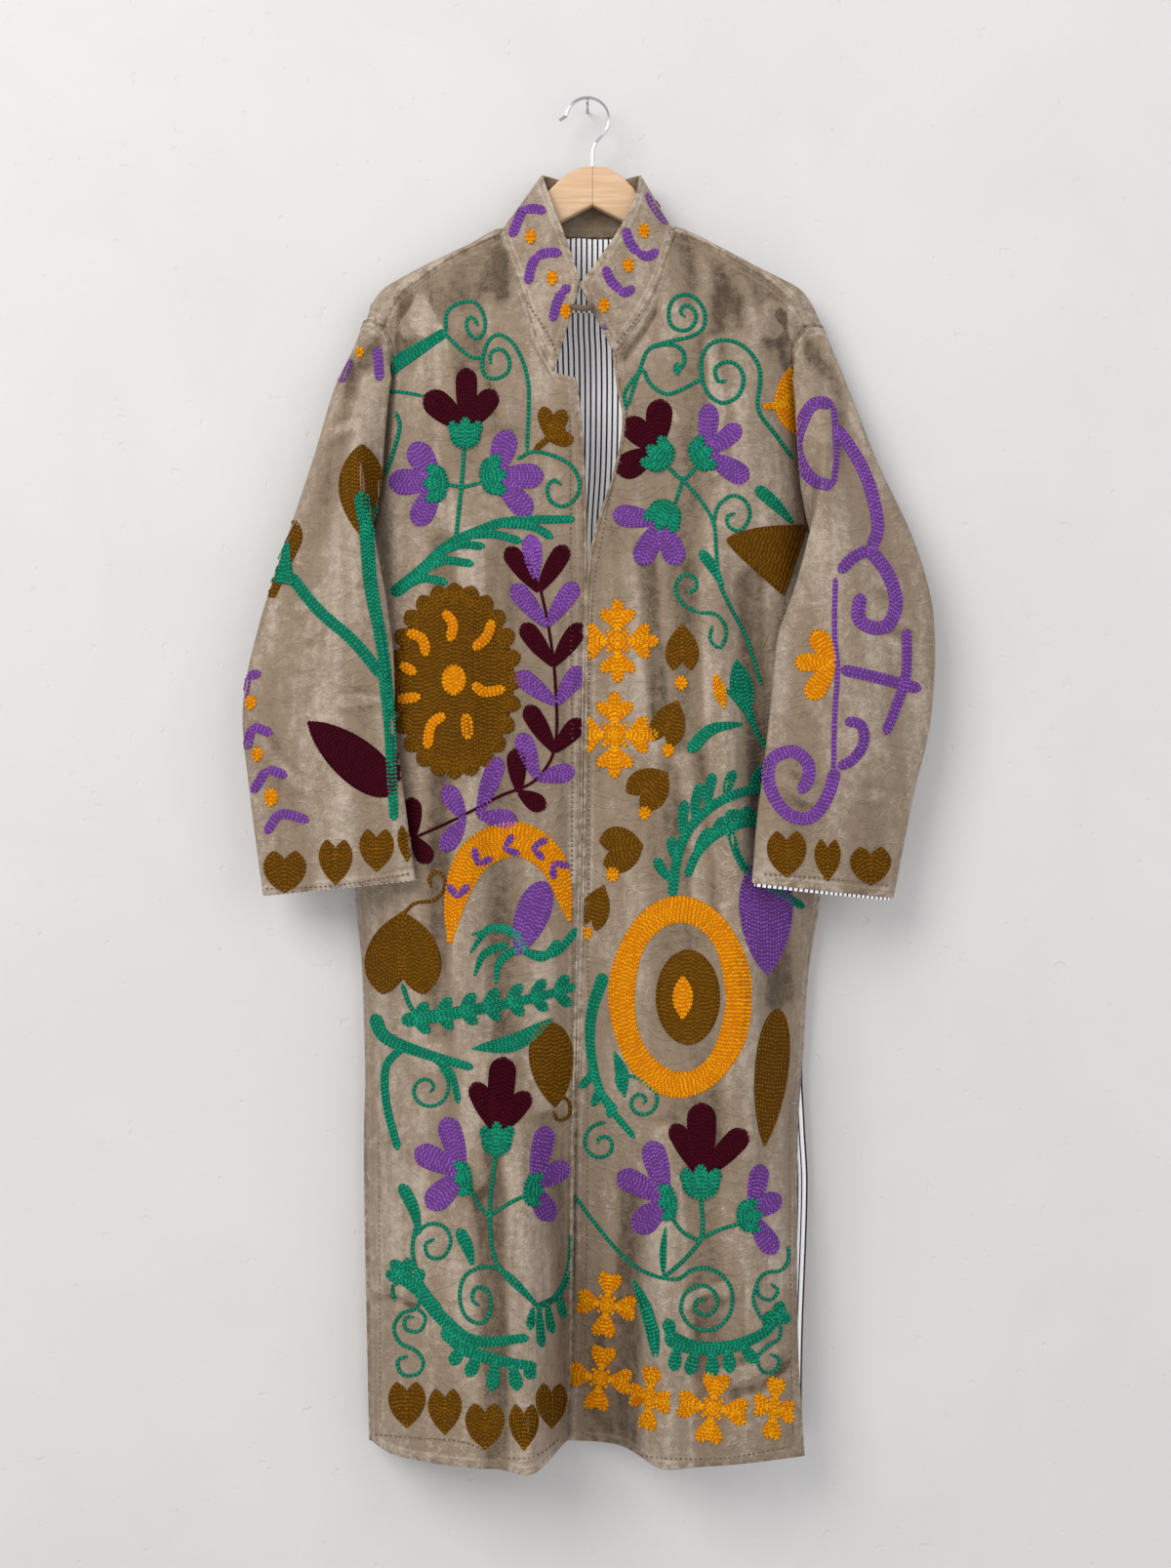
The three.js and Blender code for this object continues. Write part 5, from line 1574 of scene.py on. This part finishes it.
def sew_front_left(cloth):
    green, purple, burgundy, orange, olive = COLOURS
    # shoulder curls
    cloth.vine(green, 2.0, [(643, 417), (657, 375), (665, 358), (686, 350), (708, 345), (720, 337),
                            (722, 321), (713, 306), (700, 302), (689, 308), (685, 322), (689, 335),
                            (702, 339), (712, 331), (712, 319), (702, 313), (697, 320), (702, 325)])
    cloth.vine(green, 2.0, [(641, 420), (640, 404), (648, 390), (659, 378)])
    cloth.vine(green, 2.2, [(665, 356), (686, 353), (699, 359), (701, 372), (694, 381)])
    cloth.disc(green, 694, 378, 4.5, 6)
    cloth.vine(green, 2.0, [(659, 378), (667, 394), (683, 404), (699, 399), (719, 388)])
    cloth.vine(green, 2.1, [(812, 470), (795, 446), (777, 420), (779, 388), (776, 372), (763, 356),
                            (747, 349), (731, 351), (720, 364), (719, 385), (726, 404), (740, 413),
                            (756, 406), (762, 388), (756, 375), (744, 371), (733, 378), (736, 391),
                            (744, 390)])
    # an orange flower at the sleeve
    cloth.vine(orange, 3.4, [(781, 417), (792, 416), (806, 414)], 6)
    cloth.leaf(orange, 11, 794, 421, 816, 371, 0.06)
    cloth.leaf(orange, 10, 793, 411, 820, 448, -0.06)
    cloth.leaf(orange, 8, 797, 418, 826, 402)
    # chest: burgundy and purple flowers
    cloth.vine(green, 2.1, [(684, 478), (700, 491), (716, 476)])
    cloth.vine(green, 2.0, [(700, 491), (692, 516)])
    cloth.flower(burgundy, (672, 462), [(642, 430, 13), (633, 484, 14), (677, 410, 13.5)],
                 (676, 468, -52, 38, 26))
    cloth.flower(purple, (724, 466), [(727, 415, 10.5), (758, 437, 10), (766, 491, 11.5)],
                 (718, 467, 62, 38, 22))
    cloth.flower(purple, (677, 534), [(629, 527, 11.5), (655, 578, 12), (695, 578, 12)],
                 (681, 527, 205, 38, 28))
    cloth.vine(green, 1.9, [(700, 492), (718, 513), (731, 535), (734, 564), (737, 596), (747, 620),
                            (764, 652), (780, 702)])
    cloth.vine(green, 1.9, [(731, 538), (736, 519), (750, 508), (764, 514), (768, 530), (758, 544),
                            (747, 540), (745, 530), (753, 526)])
    cloth.petal(green, 5.6, 740, 600, 718, 565, 0.04)
    cloth.vine(green, 1.9, [(716, 628), (701, 620), (692, 604), (699, 590), (712, 592), (713, 604),
                            (704, 607)])
    cloth.vine(green, 1.8, [(716, 628), (734, 630), (744, 646), (738, 664), (728, 656), (730, 642)])
    # the olive fan and the green leaf that go under the sleeve
    fan = smooth_line([(745, 553), (780, 562), (816, 574)])
    cloth.stroke(olive, fan, 1 + 38 * np.linspace(0, 1, len(fan)) ** 0.72)
    cloth.petal(green, 6.5, 812, 536, 775, 500, 0.03)
    # crosses of hearts and a column of olive hearts
    cloth.flake(orange, 633, 657, 42, THREE_LOBES, 0.155)
    cloth.flake(orange, 630, 753, 44, THREE_LOBES, 0.155)
    for x, y, width, height, angle in (
        (699, 663, 36, 46, 180), (686, 740, 38, 46, 200), (667, 806, 46, 44, 230),
        (638, 870, 50, 42, 260), (611, 929, 32, 46, 200),
    ):
        cloth.heart(olive, width, height, x, y, angle)
    for x, y, radius in ((698, 700, 7), (685, 769, 6.5), (661, 833, 6.5), (628, 896, 7),
                         (601, 956, 6.5)):
        cloth.disc(orange, x, y, radius, radius, 0.2)
    # buds and feathered leaves by the sleeve
    cloth.leaf(orange, 6.5, 733, 690, 742, 726)
    cloth.leaf(green, 12, 754, 676, 766, 734)
    cloth.petal(green, 6.5, 760, 742, 706, 770, 0.15)
    cloth.leaf(green, 5.5, 742, 706, 774, 742, -0.1)
    cloth.vine(green, 2.6, [(764, 730), (780, 758), (800, 790)])
    cloth.vine(green, 5, [(689, 918), (694, 880), (706, 850), (730, 826), (760, 812), (812, 802)])
    cloth.vine(green, 4.5, [(704, 898), (716, 872), (740, 852), (775, 842), (812, 846)])
    for x0, y0, x1, y1 in (
        (690, 904, 672, 880), (694, 884, 688, 858), (702, 862, 702, 821), (712, 846, 718, 804),
        (726, 832, 731, 793), (744, 820, 752, 790), (768, 812, 784, 785), (712, 880, 728, 850),
        (728, 862, 744, 838), (748, 850, 770, 828),
    ):
        cloth.petal(green, 5.6, x0, y0, x1, y1, -0.06)
    cloth.vine(green, 6, [(744, 834), (780, 840), (812, 850)])
    cloth.vine(green, 4, [(744, 840), (764, 890), (824, 930)])
    # a purple drop, the orange ring and what is in it
    cloth.drop(purple, 30, 784, 880, 786, 998)
    cloth.ring(orange, 697, 1022, 73, 103, 26)
    cloth.disc(olive, 705, 1022, 33, 48)
    cloth.leaf(orange, 11, 700, 1000, 700, 1044, 0.0, 1.0)
    cloth.drop(olive, 19, 797, 1034, 783, 1174)
    # a branch with buds and curls along the front edge
    cloth.vine(green, 6.5, [(619, 998), (606, 1040), (606, 1082), (618, 1124), (650, 1166)], 3)
    cloth.sprig(green, 3, [(606, 1084), (612, 1112), (632, 1136)], 3, 24, 4.5, (1,), 40)
    cloth.leaf(green, 6.5, 630, 1078, 640, 1124, -0.05)
    cloth.vine(green, 1.8, [(636, 1118), (632, 1104), (652, 1104), (670, 1118)])
    cloth.spiral(green, 1.9, 657, 1129, 18, -40, 1.25)
    cloth.spiral(green, 1.9, 617, 1172, 22, -80, -1.3)
    # the lower tulip and its flowers
    cloth.vine(green, 2.2, [(718, 1226), (719, 1266), (702, 1290), (680, 1309)])
    cloth.vine(green, 2.0, [(687, 1246), (700, 1263), (718, 1272)])
    cloth.vine(green, 2.0, [(761, 1253), (738, 1260), (719, 1269)])
    cloth.flower(burgundy, (719, 1206), [(690, 1153, 10), (764, 1159, 12), (719, 1131, 15)],
                 (718, 1213, 0, 42, 31))
    cloth.flower(purple, (683, 1230), [(667, 1170, 12.5), (634, 1203, 12), (651, 1261, 14)],
                 (685, 1232, -97, 42, 15))
    cloth.flower(purple, (770, 1246), [(780, 1194, 10), (799, 1226, 11), (794, 1284, 11)],
                 (766, 1246, 85, 36, 22))
    cloth.vine(green, 1.9, [(589, 1226), (629, 1277), (658, 1302), (693, 1311), (712, 1300),
                            (734, 1303), (749, 1320), (748, 1346), (732, 1362), (710, 1360),
                            (698, 1344), (702, 1326), (718, 1317), (732, 1324), (735, 1338),
                            (725, 1348), (713, 1343), (714, 1332), (723, 1332)])
    cloth.leaf(green, 3.6, 682, 1258, 680, 1310, 0.03)
    # the fingered branch above the hem
    cloth.leaf(green, 6.5, 649, 1310, 670, 1390, -0.06)
    cloth.leaf(green, 5.5, 662, 1338, 674, 1390, -0.04)
    cloth.vine(green, 8.5, [(682, 1370), (712, 1381), (748, 1380), (782, 1366), (804, 1342)], 4.5)
    for x0, y0, x1, y1 in (
        (688, 1372, 684, 1352), (694, 1380, 690, 1404), (712, 1384, 706, 1408),
        (730, 1386, 730, 1410), (746, 1382, 748, 1406), (760, 1378, 774, 1396),
        (784, 1362, 790, 1344), (796, 1352, 800, 1334), (796, 1352, 810, 1350),
    ):
        cloth.petal(green, 6.8, x0, y0, x1, y1)
    for curl in (
        [(807, 1277), (808, 1290), (800, 1302), (786, 1304), (776, 1314), (778, 1328), (790, 1332),
         (797, 1322), (790, 1316)],
        [(776, 1314), (772, 1332), (780, 1352)],
        [(800, 1356), (798, 1372), (786, 1380), (776, 1392), (782, 1406), (795, 1404), (798, 1392),
         (789, 1388)],
    ):
        cloth.vine(green, 1.8, curl)
    for x, y, radius, squeeze in ((622, 1337, 34, 0.92), (615, 1412, 34, 1.0), (666, 1433, 34, 0.6),
                                  (730, 1443, 37, 1.0), (793, 1443, 33, 0.62)):
        cloth.flake(orange, x, y, radius, TWO_LOBES, 0.21, 8, squeeze)
    cloth.topstitch([(654, 384), (640, 430), (623, 520), (609, 600), (604, 700), (603, 900),
                     (602, 1200), (599, 1456)])
    cloth.topstitch([(596, 1468), (629, 1484), (674, 1494), (744, 1494), (812, 1482)])
    cloth.topstitch([(809, 1140), (810, 1300), (812, 1470)])
    cloth.vine("ecru", 1.7, [(809, 1131), (818, 1130)])


def sew_sleeve_right(cloth):
    green, purple, _, orange, olive = COLOURS
    burgundy = "burgundy"
    for chain in (
        [(349, 392), (353, 380), (359, 368)], [(387, 356), (389, 390)],
        [(248, 723), (253, 693)], [(254, 693), (267, 690)],
        [(253, 768), (258, 745)], [(259, 744), (279, 752)],
        [(259, 812), (273, 789)], [(274, 788), (294, 795)],
        [(273, 854), (283, 838), (292, 834), (316, 841)],
    ):
        cloth.vine(purple, 5, chain)
    for x, y, radius in ((369, 361, 4.5), (257, 720, 6), (264, 773, 6), (278, 817, 7.5)):
        cloth.disc(orange, x, y, radius, radius * 1.2, 0.2)
    # two olive buds on merging stems
    bud = smooth_line([(371, 456), (371, 500), (374, 553)])
    t = np.linspace(0, 1, len(bud))
    cloth.stroke(olive, bud, 24 * np.sin(np.pi * t ** 0.85) ** 0.8)
    cloth.petal(olive, 21, 276, 612, 299, 531, -0.08)
    cloth.vine(green, 7.5, [(375, 536), (376, 553), (380, 603), (389, 648), (396, 693)], 5.5, 1.2)
    cloth.petal(green, 7, 374, 550, 370, 505, 0, 1.2)
    cloth.petal(green, 7, 374, 550, 386, 518, 0, 1.2)
    bud = smooth_line([(296, 556), (292, 575), (289, 598)])
    cloth.stroke(green, bud, np.linspace(2, 13, len(bud)), 1.2)
    cloth.vine(green, 6, [(297, 589), (326, 625), (362, 657), (392, 693)], 7)
    cloth.vine(green, 7, [(394, 686), (399, 739), (401, 784), (404, 840)], 4.5)
    cloth.petal(green, 5, 399, 728, 409, 706)
    cloth.drop(burgundy, 25, 404, 812, 316, 740)
    cloth.petal(burgundy, 7, 408, 800, 411, 764)
    for x, y, width, height in ((292, 894, 46, 42), (344, 884, 36, 45), (386, 872, 37, 42),
                                (417, 865, 20, 36)):
        cloth.heart(olive, width, height, x, y)
    cloth.topstitch([(272, 911), (340, 908), (424, 895)])


def sew_sleeve_left(cloth):
    _, purple, _, orange, olive = COLOURS
    for half, chain in (
        (6.5, [(853, 414), (834, 414), (821, 435), (816, 458), (823, 480), (837, 494), (853, 498)]),
        (6.5, [(855, 437), (871, 458), (886, 485), (896, 516), (899, 544), (892, 563)]),
        (6, [(892, 563), (875, 571), (860, 586)]),
        (3, [(854, 416), (856, 440), (857, 470), (854, 496)]),
        (2.6, [(856, 592), (855, 648), (858, 684), (855, 739), (854, 790)]),
        (7, [(890, 562), (909, 587), (918, 616), (911, 639), (896, 644), (880, 634), (882, 609)]),
        (6, [(862, 686), (893, 693), (943, 706)]),
        (5.2, [(929, 645), (928, 693), (918, 725), (907, 752)]),
        (5.5, [(866, 739), (882, 743), (885, 761), (873, 779), (859, 786)]),
        (6.5, [(856, 788), (848, 816), (830, 838), (807, 834), (789, 807), (790, 780), (811, 770),
               (827, 781), (828, 798), (820, 812)]),
    ):
        cloth.vine(purple, half, chain)
    for x, y, half in ((834, 647, 11), (815, 679, 9.5), (829, 716, 11)):
        cloth.petal(orange, half, 854, 679, x, y)
    for x, y, width, height in ((806, 876, 42, 46), (848, 882, 28, 42), (892, 888, 44, 38)):
        cloth.heart(olive, width, height, x, y)
    cloth.topstitch([(783, 896), (850, 901), (914, 908)])


def sew_collar(cloth):
    purple, orange = "purple", "orange"
    for chain in (
        [(524, 243), (531, 226), (537, 212)], [(537, 215), (548, 214), (559, 217)],
        [(541, 291), (545, 272), (551, 262)], [(549, 263), (562, 259), (575, 260)],
        [(566, 329), (571, 310), (577, 298)], [(575, 299), (584, 294)],
        [(664, 197), (670, 210), (684, 229)], [(641, 234), (645, 248), (654, 260)],
        [(653, 259), (664, 263), (674, 257)], [(620, 274), (626, 288), (636, 298)],
        [(634, 298), (642, 300), (649, 294)], [(615, 334), (621, 338)],
    ):
        cloth.vine(purple, 5, chain)
    for x, y in ((544, 243), (566, 285), (580, 319), (678, 202), (660, 237), (644, 272),
                 (619, 313)):
        cloth.disc(orange, x, y, 6, 7, 0.2)
    cloth.topstitch([(512, 262), (534, 300), (562, 344), (570, 360)])
    cloth.topstitch([(690, 250), (676, 290), (650, 330), (632, 352)])


for cloth_name, cloth_grid, tube, sew in (
    ("front_right", grid_front_right, False, sew_front_right),
    ("front_left", grid_front_left, False, sew_front_left),
    ("sleeve_right", grid_sleeve_right, True, sew_sleeve_right),
    ("sleeve_left", grid_sleeve_left, True, sew_sleeve_left),
    ("collar", grid_collar, False, sew_collar),
):
    panel = Cloth(cloth_name, cloth_grid, tube)
    sew(panel)
    panel.sew()


# ---------------------------------------------------------------- seams and sewing
def seam_welt(name, chain, radius=1.5, squash=0.7):
    """The rounded edge of velvet that closes a seam."""
    run = np.linalg.norm(np.diff(chain, axis=0), axis=1).sum()
    points = along(chain, np.linspace(0, 1, max(6, int(run / 5))))
    piece = rod_mesh(name, points, radius * squash, velvet, 10)
    return piece


def nearest_points(chain, edge):
    """For each point of the chain, the nearest place on an edge."""
    fine = along(edge, np.linspace(0, 1, 600))
    return np.stack([fine[np.argmin(np.linalg.norm(fine - p, axis=1))] for p in chain])


collar_foot = grid_collar[:, 0]
back_top = grid_back[:, 0]
for side, grid in (("right", grid_front_right), ("left", grid_front_left)):
    sign = -1 if side == "right" else 1
    top = grid[:, 0]
    over = top[np.abs(top[:, 0]) >= NECK_HALF - 1]
    back_part = back_top[(back_top[:, 0] * sign > NECK_HALF - 2)]
    seam_welt("shoulder_seam_" + side, (over + nearest_points(over, back_part)) / 2)
neckline = np.concatenate([
    grid_front_right[:, 0], back_top[np.abs(back_top[:, 0]) < NECK_HALF], grid_front_left[:, 0],
])
seam_welt("collar_seam", (collar_foot + nearest_points(collar_foot, neckline)) / 2)
for side, grid, front, head in (
    ("right", grid_sleeve_right, FRONT_RIGHT, HEAD_SEAM_RIGHT),
    ("left", grid_sleeve_left, FRONT_LEFT, HEAD_SEAM_LEFT),
):
    hole_front, hole_back = armhole(front, head)
    hem = np.concatenate([hole_front, hole_back[1:-1]])
    middle_line = (hem + grid[:, 0]) / 2
    seam_welt("armhole_seam_" + side, np.concatenate([middle_line, middle_line[:1]]))

# the turned edges that meet down the front
for side, grid in (("right", grid_front_right), ("left", grid_front_left)):
    edge = min((grid[0], grid[-1]), key=lambda line: np.abs(line[-1, 0]))
    seam_welt("front_edge_" + side, edge, 2.3)


# ---------------------------------------------------------------- the hanger
for node, material in (("hanger_body", wood), ("hanger_hook", steel)):
    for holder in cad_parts[node].material_slots:
        holder.material = material
        holder.material.name = node + "_finish"


# ---------------------------------------------------------------- the wall and the floor
def stage_plane(name, corners, material):
    mesh = bpy.data.meshes.new(name)
    mesh.from_pydata(corners, [], [(0, 1, 2, 3)])
    mesh.materials.append(material)
    piece = bpy.data.objects.new(name, mesh)
    bpy.context.scene.collection.objects.link(piece)
    return piece


def plaster_material(name, colour, roughness):
    """Pale rough plaster, see-through from behind so that the back can be looked at."""
    s = Shader(name)
    s.surface.inputs["Roughness"].default_value = roughness
    s.surface.inputs["Specular IOR Level"].default_value = 0.2
    trowel = s.noise(s.stretched((1.0, 1.0, 1.0)), 5, 6, 0.6, 0.5)
    grit = s.noise(s.stretched((1.0, 1.0, 1.0)), 240, 4, 0.6)
    pits = s.noise(s.stretched((1.0, 1.0, 1.0)), 75, 2, 0.5)
    tone = s.mix(s.ramp(trowel, 0.3, 0.7), tuple(c * 0.965 for c in colour[:3]) + (1,), colour)
    s.feed(s.surface.inputs["Base Color"], tone)
    height = s.math("ADD", s.math("MULTIPLY", trowel, 2.5), s.math("MULTIPLY", grit, 0.22))
    height = s.math("SUBTRACT", height, s.ramp(pits, 0.68, 0.78, 0.0, 0.8))
    s.bump(height, 0.0012, 0.5)
    clear = s.nodes.new("ShaderNodeBsdfTransparent")
    which = s.nodes.new("ShaderNodeMixShader")
    behind = s.node("NewGeometry").outputs["Backfacing"]
    s.links.new(behind, which.inputs[0])
    s.links.new(s.surface.outputs[0], which.inputs[1])
    s.links.new(clear.outputs[0], which.inputs[2])
    s.links.new(which.outputs[0], s.out.inputs["Surface"])
    return s.material


WALL_Y = 0.0315
WALL_HALF = 3.0
FLOOR_Z = -1.75
plaster = plaster_material("plaster", srgb(219, 217, 215), 0.95)
wall = stage_plane("wall", [
    (WALL_HALF, WALL_Y, FLOOR_Z), (-WALL_HALF, WALL_Y, FLOOR_Z),
    (-WALL_HALF, WALL_Y, 1.6), (WALL_HALF, WALL_Y, 1.6),
][::-1], plaster)
wall.visible_diffuse = False  # lets the sky light the back of the coat
stage_plane("floor", [
    (-WALL_HALF, -4.0, FLOOR_Z), (WALL_HALF, -4.0, FLOOR_Z),
    (WALL_HALF, WALL_Y, FLOOR_Z), (-WALL_HALF, WALL_Y, FLOOR_Z),
], plaster)

NAIL_RADIUS = 1.3
NAIL_DROP = 3.2
nail = rod_mesh("nail", np.array([(0, WALL_Y / MM, -NAIL_DROP), (0, 12, -NAIL_DROP),
                                  (0, -5, -NAIL_DROP)]), NAIL_RADIUS, steel)

# ---------------------------------------------------------------- camera and light
scene = bpy.context.scene
lens = bpy.data.cameras.new("camera")
lens.lens = 50
lens.sensor_width = 36
camera = bpy.data.objects.new("camera", lens)
camera.location = CAMERA_PLACE
camera.rotation_euler = (math.pi / 2, 0, 0)
scene.collection.objects.link(camera)
scene.camera = camera

KEY_WATTS = 92
FILL_WATTS = 24


def area_light(name, place, target, size, power, colour=(1, 1, 1)):
    light = bpy.data.lights.new(name, "AREA")
    light.shape = "RECTANGLE"
    light.size, light.size_y = size
    light.energy = power
    light.color = colour
    holder = bpy.data.objects.new(name, light)
    holder.location = place
    aim = Vector(target) - Vector(place)
    holder.rotation_euler = aim.to_track_quat("-Z", "Y").to_euler()
    scene.collection.objects.link(holder)


middle = (0, 0, -0.65)
area_light("key", (-1.9, -2.9, 1.3), middle, (2.2, 2.2), KEY_WATTS, (1.0, 0.985, 0.96))
area_light("fill", (2.2, -2.6, 0.2), middle, (2.6, 2.6), FILL_WATTS, (0.97, 0.985, 1.0))

world = bpy.data.worlds.new("world")
scene.world = world
world.use_nodes = True
sky = world.node_tree.nodes["Background"]
sky.inputs["Color"].default_value = (0.93, 0.95, 1.0, 1)
sky.inputs["Strength"].default_value = 0.6
scene.view_settings.view_transform = "Standard"
scene.view_settings.look = "None"
scene.view_settings.exposure = 0.0

def corners(box):
    return [[float(number) for number in corner] for corner in box]
